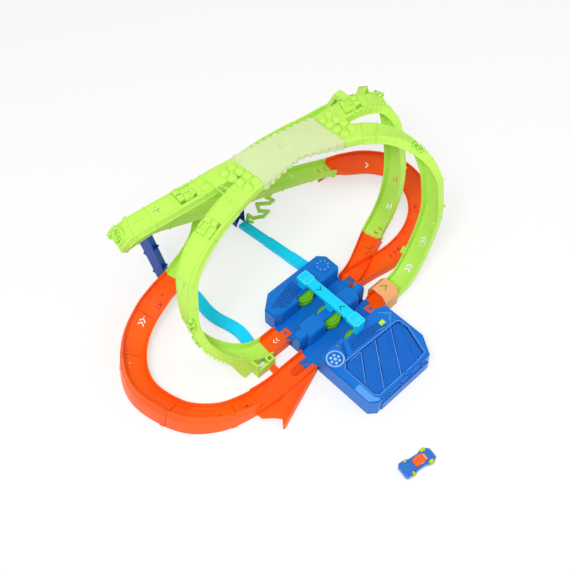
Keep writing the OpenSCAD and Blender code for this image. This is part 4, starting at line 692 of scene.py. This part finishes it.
star = bmesh.new()
m = Station(ROUTE_TWO, 14.98).matrix(-2, 0, -WALL - 1.5)
points = [Vector((math.cos(a), math.sin(a), 0)) * (8.5 if k % 2 == 0 else 2.0)
          for k, a in ((k, math.radians(45 * k)) for k in range(8))]
skin(star, [[m @ (p + Vector((0, 0, z))) for p in points] for z in (0, 4)])
track("upper_band", ROUTE_TWO, 13.6, 16.2, star,
      [(cross_ribs, 13.9, 15.25), (frame_block, 14.3), (collar, 16.2),
       (pad, 15.7, (-0.8, -14, -3), (0.8, 6, -1.2), 0.4)])
track("tip_turn", ROUTE_TWO, 16.2, 19.5,
      add=[(cross_ribs, 17.3, 18.2, 19.1), (teeth, 16.8, 18.4, 9, -1), (tip_boss, 16.75)])
track("return_high", ROUTE_TWO, 19.5, 22.5, add=[(cross_ribs, 20.4, 21.4)])
track("return_low", ROUTE_TWO, 22.5, 25, holes(ROUTE_TWO, (24.62, -3, 14, 3.4), (24.84, -3, 14, 3.4)),
      [(cross_ribs, 23.2, 24.2), (serration, 24.99), (teeth, 24.93, 24.94, 2, 1), (collar, 25)])


# ---------------------------------------------------------------- turn over and drop
# The first lane leaves the crossing on the right, rolls over the top and drops behind the right
# loop to the merging track. Two lime mouldings; the drop has long saw-toothed grip openings.
def saw_slots(r, *list_of):
    """Cutters for long openings with saw-toothed sides: (u, across, width, length)."""
    bm = bmesh.new()
    for u, x, w, l in list_of:
        m = Station(r, u).matrix(x)
        n = max(2, round(l / 2.2))
        right = [(w / 2 + (0.7 if k % 2 else 0), -l / 2 + l * k / n) for k in range(n + 1)]
        left = [(-w / 2 + (0.7 if k % 2 else 0), -l / 2 + l * k / n) for k in range(n, -1, -1)]
        skin(bm, [[m @ Vector((px, py, z)) for px, py in right + left] for z in (-WALL - 5, 3)])
    return bm


track("turn_over", ROUTE_ONE, 13.4, 16.2,
      add=[(cross_ribs, 14.4, 15.6), (teeth, 13.8, 15.4, 9, -1), (frame_block, 13.8),
           (edge_box, 15.0, 1, 18)])
track("drop_track", ROUTE_ONE, 16.2, 22,
      with_more(saw_slots(ROUTE_ONE, (17.3, -7, 3.6, 19), (18.85, -2, 3.4, 15), (18.95, 4, 3.0, 13),
                          (20.2, -6, 3.4, 17), (20.3, 1, 3.2, 15)),
                holes(ROUTE_ONE, (21.2, -8, 3, 3), (21.5, -9, 9, 3.4), (21.78, -4, 9, 2.6))),
      [(cross_ribs, 16.9, 18.1, 19.3, 20.7), (serration, 21.99), (joint_ribs, 21.6), (collar, 22)])

# ---------------------------------------------------------------- ramp behind the loops
# A raised box at the top right feeds cars into a lime ramp that runs down behind the loops to the
# left curve. It hangs on a bracket of the turn-over and is moulded in two lengths.
ROUTE_RAMP = route(
    (286, 170, 258), (262, 208, 240), (225, 230, 226), (185, 246, 212),
    (140, 270, 192), (90, 298, 160), (30, 313, 126), (-30, 305, 91), (-88, 269, 67), (-165, 247, 55),
    (-210, 241, 47, 0.1, -0.3, 1), (-256, 230, 38, 0.3, -0.4, 1), (-298, 206, 31, 0.4, -0.3, 1),
    (-331, 169, 27, 0.5, -0.2, 1), (-347, 126, 23, 0.5, 0, 1), (-343, 80, 21, 0.5, 0.2, 1),
    (-322, 30, 18, 0.4, 0.3, 1), (-280, -9, 15, 0.2, 0.4, 1), (-230, -28, 12, 0.1, 0.3, 1),
    (-180, -36, 10), (-130, -36, 10), (-86.3, -36, 10))


def ramp_mouth(bm, r):
    """Frame of the raised box around the first end of the ramp."""
    o, top = SIDE + 2, 28.2
    blocks(bm, Station(r, 0.5).matrix(), 0.7, (-o, -9, -3.8, o, 9, -1.2), (-o, -9, 26, o, 9, top),
           (-o, -9, -3.8, -HALF - 0.4, 9, top), (HALF + 0.4, -9, -3.8, o, 9, top))


track("ramp_high", ROUTE_RAMP, 0, 4.5, add=[(cross_ribs, 1.4, 2.4, 3.4), (ramp_mouth,)])
track("ramp_low", ROUTE_RAMP, 4.5, 9, add=[(cross_ribs, 5.6, 6.8, 8.0)])

# ---------------------------------------------------------------- banked floor curves
# Wide orange curves on both sides. The outer wall stands on a skirt that spreads down to the
# floor; snap lugs, inner tabs and keyed openings show at every joint of the five mouldings.
ORANGE = dress("orange_plastic", plastic("orange_track", (1.0, 0.108, 0.003), 0.36))
# Darker orange, the shaded copy of the track colour: painted shade on the joint keys, seams and entry
# arrowheads.
PAINTED_SHADE_ORANGE = plastic("painted_shade_orange", (0.60, 0.028, 0.002), 0.5)
CURVE_HALF, FLARE = 21.5, 7.0          # half width in the bend, spread of the skirt
RIGHT_BEND = (ROUTE_TWO, -1, (25, 33))       # route, outer side, first and last station of the bend
LEFT_BEND = (ROUTE_RAMP, 1, (9, 18.3))


def curve_k(u, ends):
    """Share of the full bend's shape at station u."""
    rise = min(1, max(0, (u - ends[0]) / 1.5))
    fall = min(1, max(0, (u - ends[1] + 2) / 2))
    return min(rise, 1 - fall)


def half_at(u, ends):
    return HALF + (CURVE_HALF - HALF) * curve_k(u, ends)


def joint_lug(bm, u, bend):
    """Snap lug over a joint: it straddles the outer skirt down to the floor."""
    r, d, ends = bend
    st = Station(r, u)
    o = half_at(u, ends) + WALL
    foot = o + FLARE * curve_k(u, ends)
    gx, gy = st.ground(d * (foot + 1.2))
    ix, iy = st.ground(d * (foot - 2.5))
    outline = [(d * (o + 1.5), RIM - 3), (gx, gy), (ix, iy), (d * (o - 0.5), 0), (d * (o - 0.5), RIM - 3)]
    rings = []
    for k in (-1, 1):
        s = Station(r, u + k * 4.5 / st.pitch)
        ring = [s.spot(x, y) for x, y in outline]
        for i in (1, 2):
            ring[i].z = max(0.0, ring[i].z)
        rings.append(ring)
    skin(bm, rings)


def inner_tab(bm, u, bend):
    r, d, ends = bend
    o = half_at(u, ends) + WALL
    a, b = sorted((-d * (o - 0.5), -d * (o + 2.6)))
    block(bm, Station(r, u).matrix(), (a, -5, -2.5), (b, 5, 6), 0.6)


def curve(name, bend, u0, u1, openings, lugs, tabs=(), extra=None):
    """One piece of a bend in place of its CAD node, with its openings, lugs and tabs."""
    r, d, ends = bend

    def wall_shape(u, st):
        low = RIM - 4
        return trough(half_at(u, ends), RIM if d < 0 else low, RIM if d > 0 else low, 0.9)

    def skirt_shape(u, st):
        h = half_at(u, ends)
        o = h + WALL
        foot = o + FLARE * curve_k(u, ends)
        return [(d * (h - 0.4), -0.9, 0), (d * (o + 0.3), 4.0, 0.4), (d * (o + 0.3), -0.4, 2.5),
                (*st.ground(d * foot), 0.4), (*st.ground(d * (foot - 2)), 0)]

    bm = bmesh.new()
    sweep(bm, r, u0, u1, wall_shape)
    obj = carve(finish_mesh(name + "_moulding", bm, ORANGE), ("DIFFERENCE", holes(r, *openings)))
    trim = extra or bmesh.new()
    sweep(trim, r, u0, u1, skirt_shape, inset=0.4)
    for u in tabs:
        inner_tab(trim, u, bend)
    for u in lugs:
        joint_lug(trim, u, bend)
    join_onto(obj, finish_mesh(name + "_trim", trim, ORANGE))
    stand_for(obj, name)


column_socket = bmesh.new()
blocks(column_socket, spun(math.radians(8), -172, 262), 1.0, (0, 0, 0, 24, 17, 13))
blocks(column_socket, spun(math.radians(8), -172, 262), 0.6, (-1, -1, 0, 25, 18, 3))
curve("curve_right_a", RIGHT_BEND, 25, 28.5, [(25.3, 0, 9, 2.4)], [28.45], [28.4])
curve("curve_right_b", RIGHT_BEND, 28.5, 33, [(31.2, 0, 9, 2.4), (31.45, 0, 9, 2.4)], [32.8])
curve("curve_left_a", LEFT_BEND, 9, 12, [(9.85, -3, 1.8, 6), (11.0, 0, 1.8, 5)], [11.9],
      extra=column_socket)
curve("curve_left_b", LEFT_BEND, 12, 15.5, [(12.6, 4, 6, 2.4), (12.9, 5, 4, 3.4)], [12.75, 15.4])
curve("curve_left_c", LEFT_BEND, 15.5, 18.3, [(17.0, 2, 2.4, 5)], [17.35], [17.2])


def keyed(bm, r, u, x):
    """Cross-shaped key of a joint and the slots beside it on the running surface, drawn in painted shade."""
    m = Station(r, u).matrix(x)
    for turn in (45, -45):
        block(bm, m @ spun(math.radians(turn)), (-4.6, -0.9, -0.5), (4.6, 0.9, 0.22), 0)
    for y in (-6.4, 7.4):
        block(bm, m, (-4, y - 0.6, -0.5), (4, y + 0.6, 0.2), 0)


def seam(bm, r, u, x0, x1):
    """Joint line across the running surface, drawn in painted shade."""
    block(bm, Station(r, u).matrix(), (x0, -0.5, -0.5), (x1, 0.5, 0.18), 0)


# Joint keys and seams in darker orange: painted shade.
joint_shade = bmesh.new()
for r, u, x in ((ROUTE_RAMP, 10.22, -11), (ROUTE_RAMP, 17.95, 1),
                (ROUTE_TWO, 30.9, 12), (ROUTE_TWO, 33.3, 2)):
    keyed(joint_shade, r, u, x)
for r, u in ((ROUTE_RAMP, 10.86), (ROUTE_RAMP, 12.6), (ROUTE_RAMP, 15.46), (ROUTE_RAMP, 17.5),
             (ROUTE_TWO, 28.5), (ROUTE_TWO, 31.18)):
    seam(joint_shade, r, u, -17, 17)
for r, u, x0, x1 in ((ROUTE_RAMP, 12.45, 8, 15), (ROUTE_RAMP, 12.75, 8, 13), (ROUTE_RAMP, 16.95, -3, 5),
                     (ROUTE_ONE, 22.5, -14, -4), (ROUTE_ONE, 22.75, -14, -4)):
    seam(joint_shade, r, u, x0, x1)
detail("joint_painted_shade", joint_shade, PAINTED_SHADE_ORANGE, "orange_plastic")

# The orange pieces' tongues lie below the ends of the return and the drop and show in their slots
tongue = bmesh.new()
pad(tongue, ROUTE_TWO, 24.73, (-14, -8, -WALL - 1.5), (8, 8, -WALL - 0.2), 0.3)
pad(tongue, ROUTE_ONE, 21.55, (-16, -13, -WALL - 1.5), (12, 13, -WALL - 0.2), 0.3)
detail("track_tongues", tongue, ORANGE, "orange_plastic")

# ---------------------------------------------------------------- floor tracks at the booster
# The merging track brings both loops back into one lane; the entry lane on the left carries
# embossed arrowheads. Both are orange mouldings whose walls stand on the floor.
LANE = 36.0                            # distance of a lane from the middle of the booster


def floor_lane(name, lanes, left, right, extra=(), cuts=()):
    """Lanes joined into one moulding whose walls reach the floor, in place of its CAD node."""
    def shape(u, st):
        return [(*st.ground(-SIDE), 0), (*st.ground(SIDE), 0), (SIDE, right, 0.8), (-SIDE, left, 0.8)]

    bm = bmesh.new()
    sweep(bm, *lanes[0], shape)
    obj = finish_mesh(name + "_moulding", bm, ORANGE)
    joined = []
    for lane in lanes[1:]:
        more = bmesh.new()
        sweep(more, *lane, shape, inset=0.1)
        joined.append(more)
    carve(obj, *[("UNION", part) for part in (*joined, *extra)],
          *[("DIFFERENCE", cut) for cut in (lane_space(lanes), *cuts)])
    stand_for(obj, name)


def booster_notch(side):
    """Cutter for the end of a lane that laps over the booster's joint plate, on one side of it."""
    bm = bmesh.new()
    x0, x1 = sorted((side * 85, side * 104.6))
    block(bm, Matrix(), (x0, side * LANE - 9.3, -1), (x1, side * LANE + 9.3, 12), 0)
    return bm


pocket = bmesh.new()
block(pocket, Matrix(), (204, -10, 0), (222, 3, 30), 0.6)
socket = bmesh.new()
block(socket, Matrix(), (207, -7, 12), (219, 0, 40), 0)
slots = with_more(holes(ROUTE_ONE, (22.6, -4, 11, 2.2), (22.85, -4, 8, 2.2)),
                  holes(ROUTE_TWO, (33.55, 2, 9, 2.4), (33.8, 2, 9, 2.4)))
floor_lane("merge_right", [(ROUTE_ONE, 22, 25), (ROUTE_TWO, 33, 36)], RIM, RIM, [pocket],
           [with_more(booster_notch(1), socket, slots)])
floor_lane("entry_left", [(ROUTE_RAMP, 18.3, 21)], RIM, 3.5, cuts=[booster_notch(-1)])
# The arrowheads are drawn in darker orange: painted shade.
embossed = bmesh.new()
for k in range(5):
    m = spun(math.radians(90), -110 - k * 5.2, -LANE, ROAD - 0.5)
    for d in (-1, 1):
        x0, x1 = sorted((0, -d * 11))
        block(embossed, m @ spun(math.radians(d * 32)), (x0, -1, 0), (x1, 1, 1.3), 0.4)
detail("entry_chevrons_painted_shade", embossed, PAINTED_SHADE_ORANGE, "orange_plastic")

# ---------------------------------------------------------------- printed arrows
# White arrowheads, pad-printed in ink on the running surfaces, in pairs that point down the lane.
# The print follows the surface and lies a hair above it.
PRINT_WHITE = plastic("printed_white", (0.95, 0.95, 0.93), 0.45, drift=0.04)


def chevron(bm, r, u, x, turn):
    """Printed arrowhead lying on the running surface."""
    width, length, stroke, lift = 12.0, 5.4, 3.0, 0.09
    base = Station(r, u)
    for d in (-1, 1):
        rows = []
        for k in range(5):
            a = k / 4
            s, f = x + d * width / 2 * (1 - a), turn * length * a
            rows.append([bm.verts.new(Station(r, u + (f + back) / base.pitch).spot(s, lift))
                         for back in (0, -turn * stroke)])
        for p, q in zip(rows, rows[1:]):
            bm.faces.new((p[0], p[1], q[1], q[0]))


prints = bmesh.new()
for r, u, x, turn in ((ROUTE_RAMP, 11.15, -1, -1), (ROUTE_RAMP, 11.3, -1, -1), (ROUTE_TWO, 23.8, -9, 1),
                      (ROUTE_TWO, 27.05, 4, 1), (ROUTE_TWO, 2.62, 1, 1), (ROUTE_TWO, 2.76, 1, 1),
                      (ROUTE_TWO, 1.4, -2, 1), (ROUTE_TWO, 1.56, -2, 1)):
    chevron(prints, r, u, x, turn)
for k in range(2):
    m = spun(math.radians(90), -98 - k * 7, LANE, ROAD + 0.12)
    for d in (-1, 1):
        prints.faces.new([prints.verts.new(m @ Vector(p)) for p in
                          ((0, 4, 0), (d * 4.5, 0, 0), (d * 4.5, -2.2, 0), (0, 1.8, 0))])
detail("printed_arrows", prints, PRINT_WHITE, "white_nylon")

# ---------------------------------------------------------------- booster housing
# Blue two-part housing, moulded and screwed together from below. Its top has a sunk tray framed by
# a rim, slanted ribs, grille bars, small latch and screw details and a stepped corner cap. The rim, the
# slanted ribs, the corner lines, the button's ring of bumps and the corner cap are paler blue, a painted
# highlight, and dark blue strips beside the rim and ribs and between the bars are painted shade.
BLUE = dress("booster_blue", plastic("booster_blue", (0.003, 0.165, 0.64), 0.30))
# Paler blue for the edges, ribs and bumps that catch the light: a painted highlight.
PAINTED_HIGHLIGHT_BLUE = plastic("painted_highlight_blue", (0.10, 0.33, 0.85), 0.3)
# Dark blue for strips of painted shade beside the rim and ribs and between the bars.
PAINTED_SHADE_BLUE = plastic("painted_shade_blue", (0.001, 0.045, 0.27), 0.55)
TRAY_BLUE = plastic("tray_blue", (0.002, 0.125, 0.55), 0.42, drift=0.3, grain=0.3)
TOP = 45.0                             # top of the housing
SUNK = TOP - 3.2                       # root of what stands in the tray
TRAY = ((-58, -96.5), (-69, -108.5), (-69, -176.5), (-62, -184.5), (36, -184.5), (60, -181.5), (79, -124.5),
        (78, -106.5), (73, -101.5))
TRAY_RIBS = [((14.8, -102.5), (-48, -182)), ((54.6, -104), (-4, -182.5)), ((-22, -102), (-62, -150)),
             ((-47, -101), (-24, -101))]
CORNER_LINES = [((61.8, -67), (80, -82)), ((80, -82), (59.5, -99)), ((67, -75), (76, -82.5)),
                ((76, -82.5), (65, -91)), ((59.5, -99), (30, -92))]
GRILLE = [((-22 - k * 2.4, -70 - k * 4.4), (42 + k * 2.6, -77.5 - k * 3.9)) for k in range(6)]
HATCH = [((-31 - k * 1.8, -66 - k * 3.2), (-43 - k * 1.2, -72 - k * 3.0)) for k in range(9)]
STRIPES = [(Vector((-76, 79.7)).lerp(Vector((-53, 57.8)), k / 6),
            Vector((-5, 97)).lerp(Vector((-3, 69.4)), k / 6)) for k in range(7)]
relief, edges, shade_strips = bmesh.new(), bmesh.new(), bmesh.new()
inner = [(x * 0.965 + 0.2, y * 0.965 - 4.9) for x, y in TRAY]
# Rim of the tray in paler blue: a painted highlight.
for k in range(len(TRAY)):
    bar(edges, TRAY[k - 1], TRAY[k], 1.7, SUNK, TOP + 0.9, 0.5)
    # A strip of painted shade just inside the rim.
    bar(shade_strips, inner[k - 1], inner[k], 2.6, SUNK, TOP - 2.55, 0)
# Slanted ribs in paler blue, a painted highlight, each with a strip of painted shade beside it.
for a, b in TRAY_RIBS:
    bar(edges, a, b, 1.5, SUNK, TOP - 1.0, 0.3)
    bar(shade_strips, (a[0] + 2.4, a[1] - 1.2), (b[0] + 2.4, b[1] + 1.0), 1.9, SUNK, TOP - 2.6, 0)
for lines, w in ((GRILLE, 1.5), (HATCH, 1.0), (STRIPES, 1.5)):
    for a, b in lines:
        bar(relief, a, b, w, TOP - 0.9, TOP + 0.45, 0.3)
    # Strips of painted shade between neighbouring bars.
    for (a, b), (c, d) in zip(lines, lines[1:]):
        bar(shade_strips, (Vector(a) + Vector(c)) / 2, (Vector(b) + Vector(d)) / 2, w, TOP - 0.4, TOP + 0.08, 0)
# Lines on the corner in paler blue: a painted highlight.
for a, b in CORNER_LINES:
    bar(edges, a, b, 1.2, TOP - 0.6, TOP + 0.5)
# Screw bosses, two in the tray and one outside it, and the latch behind it
for x, y, z in ((48.9, -177.5, TOP - 2.2), (-40.3, -180.5, TOP - 2.2), (-42, -62.5, TOP + 0.3)):
    around(relief, spun(0, x, y), 12, 0.2, 3.2, -1.0, TOP - 3.3, 4.4, 1.0, z)
for k in range(11):
    block(relief, spun(math.pi * (1 + k / 10), 2, -188.2), (4.4, -1.1, TOP - 1), (6.2, 1.1, TOP + 0.7), 0.2)
# Ringed button on the left housing; its ring of bumps is paler blue, a painted highlight
for k in range(8):
    a = math.tau * (k + 0.5) / 8
    drum(edges, spun(0, 64.5 + 11 * math.cos(a), 81.5 + 11 * math.sin(a), TOP + 0.4), 2.6, 2.2, 2.2, 1.2, 20)
drum(relief, spun(0, 64.5, 81.5, TOP + 0.6), 7.4, 6.8, 1.9, 1.0)
# Ribs on the outer side wall
for z in (12, 24, 36):
    bar(relief, (-62, -193.6), (54, -193.6), 1.4, z, z + 1.6, 0.3)
for x in (-40, -12, 16, 44):
    bar(relief, (x, -193.6), (x, -193.2), 1.4, 12, 37, 0.3)
liner = plate(bmesh.new(), [(x * 0.985, y) for x, y in TRAY], TOP - 3.4, TOP - 2.85)
# Stepped corner cap in paler blue: a painted highlight on that corner.
cap = plate(bmesh.new(), ((-85.5, -146), (-72, -146), (-72, -180), (-66, -189.5), (-71, -191.6),
                          (-85.5, -180.6)), TOP - 1.2, TOP + 0.35)
for name, bm, look in (("booster_relief", relief, BLUE), ("booster_painted_highlights", edges, PAINTED_HIGHLIGHT_BLUE),
                       ("booster_painted_shade", shade_strips, PAINTED_SHADE_BLUE), ("tray_floor", liner, TRAY_BLUE),
                       ("corner_cap", cap, PAINTED_HIGHLIGHT_BLUE)):
    detail(name, bm, look, "booster_blue")
# Tongues of the lane tracks lie below the crossed openings of the joint plates
tongues = bmesh.new()
for d in (-1, 1):
    block(tongues, spun(0, d * 98.2, d * LANE), (-9, -9, 1.2), (9, 9, 4.2), 0.3)
detail("joint_tongues", tongues, ORANGE, "orange_plastic")

# ---------------------------------------------------------------- round badge
# Blue moulded disc pressed into the housing: a knurled ring, six spokes and a pale rosette, plain
# and without any lettering.
ICE_BLUE = plastic("ice_blue", (0.36, 0.62, 0.98), 0.32)
badge, rosette = bmesh.new(), bmesh.new()
centre = spun(0, -67, -81, TOP - 0.9)
around(badge, centre, 48, 0.2, 13.4, -1.0, 0, 16.6, 1.0, 2.3)
around(rosette, centre, 48, 0.4, 14.2, -0.8, 0, 17.2, 0.8, 3.3)
drum(badge, centre, 14.4, 14.4, 1.0, 0.3, 60)
around(badge, centre @ spun(math.radians(30)), 6, 0.3, 3.0, -0.8, 0.8, 12.8, 0.8, 2.0)
for k in range(6):
    drum(rosette, centre @ spun(math.radians(60 * k)) @ spun(0, 8.2, 0, 0.8), 3.0, 2.2, 1.5, 0.5, 18)
drum(rosette, centre @ spun(0, 0, 0, 0.8), 3.6, 2.6, 1.8, 0.6, 24)
stand_for(finish_mesh("badge_moulding", badge, BLUE), "round_badge")
detail("badge_rosette", rosette, ICE_BLUE, "booster_blue")

# ---------------------------------------------------------------- drive, cells and screws
# A small motor with a brass pinion drives white nylon gears and hubs inside the housing. Two dry
# cells between plated contacts power it, and plated screws hold the housing together.
dress("steel", plastic("plated_steel", (0.72, 0.72, 0.74), 0.28, grain=0.12, Metallic=1.0))
dress("brass", plastic("brass_pinion", (0.80, 0.60, 0.28), 0.3, Metallic=1.0))
dress("battery_case", plastic("cell_jacket", (0.03, 0.03, 0.035), 0.35))
dress("white_nylon", plastic("white_nylon", (0.82, 0.82, 0.78), 0.5))

# ---------------------------------------------------------------- base, columns and tunnel
# The booster's base plate, its battery door and the two columns are moulded in a deep blue. The
# clear peach tunnel over the right exit is snapped onto the housing.
dress("deep_blue", plastic("column_blue", (0.0, 0.065, 0.42), 0.46))
dress("peach_clear", plastic("clear_peach", (1.0, 0.52, 0.22), 0.16, Transmission_Weight=0.25, IOR=1.2))

# ---------------------------------------------------------------- bridge over the lanes
# Cyan bridge clipped over the booster: a waisted deck with framed end pads, legs on all three
# housings, and black arrowheads sunk over each lane.
CYAN = dress("cyan_plastic", plastic("cyan_bridge", (0.0, 0.64, 1.0), 0.36))
# Paler cyan for the raised frames and ribs on the deck: a painted highlight.
PAINTED_HIGHLIGHT_CYAN = plastic("painted_highlight_cyan", (0.06, 0.72, 0.98), 0.34)
INK = plastic("sunk_ink", (0.002, 0.010, 0.05), 0.6)
BRIDGE_X = 6.2                         # middle of the bridge
PAD = 27                               # length of an end pad
bridge = Matrix.Translation((BRIDGE_X, 0, 0))
span, frames, sunk = bmesh.new(), bmesh.new(), bmesh.new()
block(span, bridge, (-10, -67, 65), (10, 76, 73.6), 1.0)
for y0 in (-73, 55):
    end = bridge @ Matrix.Translation((0, y0, 0))
    block(span, end, (-12.2, 0, 65), (12.2, PAD, 73.2), 1.4)
    blocks(frames, end, 0.7, (-12.2, 0, 72.5, 12.2, 2.6, 75), (-12.2, 24.4, 72.5, 12.2, PAD, 75),
           (-12.2, 0, 72.5, -9.6, PAD, 75), (9.6, 0, 72.5, 12.2, PAD, 75))
    for y in (y0 + 16, y0 + 11):
        for d in (-1, 1):
            bar(frames, (BRIDGE_X, y), (BRIDGE_X + d * 6.5, y - 6), 1.3, 72.8, 73.9, 0.3)
blocks(frames, bridge, 0.4, (-10, -46, 73, -9, 55, 74.6), (9, -46, 73, 10, 55, 74.6))
blocks(span, bridge, 1.2, (-9.6, 65, 45.2, 9.6, 81, 67), (-10.2, -72.6, 45.2, 10.2, -64.6, 67))
leg = ((-6, 45.2), (6, 45.2), (13, 66), (-13, 66))
skin(span, [[bridge @ Vector((x, y, z)) for y, z in leg] for x in (-8, 8)])
for y, d in ((33.5, -1), (-23, 1)):
    for e in (-1, 1):
        bar(sunk, (BRIDGE_X, y + d * 3.2), (BRIDGE_X + e * 5.2, y - d * 3.2), 1.5, 73.3, 73.75, 0.1)
stand_for(finish_mesh("bridge_moulding", span, CYAN), "bridge")
detail("bridge_frames_painted_highlight", frames, PAINTED_HIGHLIGHT_CYAN, "cyan_plastic")
detail("bridge_arrows", sunk, INK, "deep_blue")

# ---------------------------------------------------------------- booster wheels
# Each wheel has a soft green rubber tread in two steps, pulled over a nylon hub; the ribs round it
# grip the sides of a passing car.
TREAD = dress("green_rubber", plastic("green_rubber", (0.16, 0.56, 0.012), 0.62, grain=0.35))
TREAD_LOW = 13.4                       # underside of the treads
TREAD_PROFILE = ((16.5, 0), (21.2, 0), (22.0, 0.9), (22.0, 7.2), (20.4, 8.0), (20.4, 10.0), (22.0, 10.8),
                 (22.0, 15), (19.4, 15.6), (18.8, 19), (16.5, 19))
for side, y in (("left", 2 * LANE), ("middle", 0), ("right", -2 * LANE)):
    tyre = bmesh.new()
    axle = spun(0, 0, y, TREAD_LOW)
    outline = [tyre.verts.new(axle @ Vector((r, 0, z))) for r, z in TREAD_PROFILE]
    rim = [tyre.edges.new(pair) for pair in zip(outline, outline[1:] + outline[:1])]
    bmesh.ops.spin(tyre, geom=outline + rim, cent=axle.translation, axis=(0, 0, 1), angle=math.tau, steps=96,
                   use_merge=True)
    around(tyre, axle, 60, 0.2, 21.4, -0.55, 1, 22.45, 0.55, 7)
    around(tyre, axle, 60, 0.2, 21.4, -0.55, 11, 22.45, 0.55, 14.8)
    drum(tyre, spun(0, 0, y, 32.6), 18.6, 17.6, 0.9, 0.4, 60)
    stand_for(finish_mesh(f"tread_{side}_rubber", tyre, TREAD), f"tread_{side}", f"{side}_wheel")

# ---------------------------------------------------------------- floor spacer
# Cyan spacers, each one moulding, set the distance from the booster to the columns. The back one
# steps down in three heights, with an edge rib along each side and low ribs across.
def link_at(t):
    """Middle of the back spacer at share t of its length."""
    return 59 - 17 * t, 108 + 183 * t


link = bmesh.new()
for t0, t1, z, half in ((0.0, 0.3, 12, 11), (0.3, 0.62, 11, 10), (0.62, 1.0, 9.5, 9)):
    skin(link, [[Vector((x + dx, y, h)) for dx, h in ((-half, 0), (half, 0), (half, z), (-half, z))]
                for x, y in (link_at(t0), link_at(t1))])
    for i in range(4):
        block(link, spun(0, *link_at(t0 + (t1 - t0) * (i + 0.5) / 4), z),
              (-half + 2, -0.6, -0.4), (half - 2, 0.6, 0.6), 0.2)
    (x0, y0), (x1, y1) = link_at(t0), link_at(t1)
    for d in (-(half - 1), half - 1):
        bar(link, (x0 + d, y0 + 1), (x1 + d, y1 - 1), 1.6, z - 0.4, z + 1.0, 0.3)
stand_for(finish_mesh("floor_link_a_moulding", link, CYAN), "floor_link_a")

# ---------------------------------------------------------------- toy car
# Small die-cast car: a painted metal body with a moulded orange shell pressed into it, pale
# windows, and lime wheels on its axles.
CAR_BLUE = dress("car_paint", plastic("car_paint", (0.01, 0.16, 0.62), 0.22,
                                      Coat_Weight=0.8, Coat_Roughness=0.06))
dress("car_orange", plastic("car_shell_orange", (1.0, 0.14, 0.006), 0.25, Coat_Weight=0.5))
dress("car_wheel", plastic("car_wheel_lime", (0.55, 0.62, 0.03), 0.35))
WINDOW = plastic("pale_window", (0.72, 0.80, 0.72), 0.15)
car = spun(math.radians(-10), -93, -305)
panes, trim = bmesh.new(), bmesh.new()
blocks(panes, car, 0.4, (-6.5, -6.4, 13.0, -1.0, 6.4, 13.9), (9.5, -5.6, 12.2, 15.5, 5.6, 13.4),
       (0.5, -7.9, 11.6, 8, -7.2, 14.4), (0.5, 7.2, 11.6, 8, 7.9, 14.4))
for x in (-20, -12):
    for y in (-9, 9):
        block(trim, car, (x - 2.5, y - 1.0, 12.2), (x + 2.5, y + 1.0, 13.4), 0.4)
block(trim, car, (-33.5, -12, 12.0), (-29.5, 12, 14.2), 0.6)
block(trim, car, (20, -4, 8.6), (31, 4, 9.6), 0.5)
detail("car_windows", panes, WINDOW, "white_nylon", "car")
detail("car_trim", trim, CAR_BLUE, "car_paint", "car")

# ---------------------------------------------------------------- camera
# It stands off the near left corner of the set and looks down over it through a slightly long
# lens.
camera_data = bpy.data.cameras.new("camera")
camera_data.lens = 53.68
camera_data.sensor_width = 36
camera = bpy.data.objects.new("camera", camera_data)
camera.location = (-0.663, -0.575, 1.3603)
camera.rotation_euler = Vector((0.3992, 0.4178, -0.8161)).to_track_quat("-Z", "Y").to_euler()
bpy.context.scene.collection.objects.link(camera)
bpy.context.scene.camera = camera

# ---------------------------------------------------------------- studio
# Pale seamless paper under a soft white sky, with a key lamp from the near left and a weak fill
# from the right. To the camera the sky is plain white.
world = bpy.data.worlds.new("studio")
bpy.context.scene.world = world
world.use_nodes = True
wt = world.node_tree
sky = wt.nodes["Background"]
sky.inputs["Color"].default_value = (1, 1, 1, 1)
sky.inputs["Strength"].default_value = 0.62
seen = shader_node(wt, "Background", Color=(1, 1, 1, 1), Strength=1.0)
path = shader_node(wt, "LightPath")
sees = math_node(wt, "MAXIMUM", path.outputs["Is Camera Ray"], path.outputs["Is Transmission Ray"])
pick = shader_node(wt, "MixShader")
wt.links.new(sees, pick.inputs[0])
wt.links.new(sky.outputs[0], pick.inputs[1])
wt.links.new(seen.outputs[0], pick.inputs[2])
wt.links.new(pick.outputs[0], wt.nodes["World Output"].inputs["Surface"])


def lamp(name, place, target, size, power):
    data = bpy.data.lights.new(name, "AREA")
    data.size = size
    data.energy = power
    obj = bpy.data.objects.new(name, data)
    obj.location = place
    obj.rotation_euler = (Vector(target) - Vector(place)).to_track_quat("-Z", "Y").to_euler()
    bpy.context.scene.collection.objects.link(obj)


lamp("key", (-1.2, -0.5, 2.2), (0, 0.05, 0.05), 0.8, 33)
lamp("fill", (1.4, -1.2, 1.4), (0, 0.05, 0.1), 1.4, 8)
floor_mesh = bpy.data.meshes.new("floor")
sheet = bmesh.new()
bmesh.ops.create_grid(sheet, x_segments=1, y_segments=1, size=4.0)
sheet.to_mesh(floor_mesh)
sheet.free()
paper = plastic("pale_floor", (0.95, 0.95, 0.95), 0.9, grain=0.0, drift=0.01)
pt = paper.node_tree
lit = shader_node(pt, "Emission")
soften = shader_node(pt, "MixShader")
seen_by_camera = math_node(pt, "MULTIPLY", shader_node(pt, "LightPath").outputs["Is Camera Ray"], 0.6)
pt.links.new(seen_by_camera, soften.inputs[0])
pt.links.new(pt.nodes["Principled BSDF"].outputs[0], soften.inputs[1])
pt.links.new(lit.outputs[0], soften.inputs[2])
pt.links.new(soften.outputs[0], pt.nodes["Material Output"].inputs["Surface"])
floor_mesh.materials.append(paper)
floor = bpy.data.objects.new("floor", floor_mesh)
bpy.context.scene.collection.objects.link(floor)

bpy.context.scene.view_settings.view_transform = "Standard"
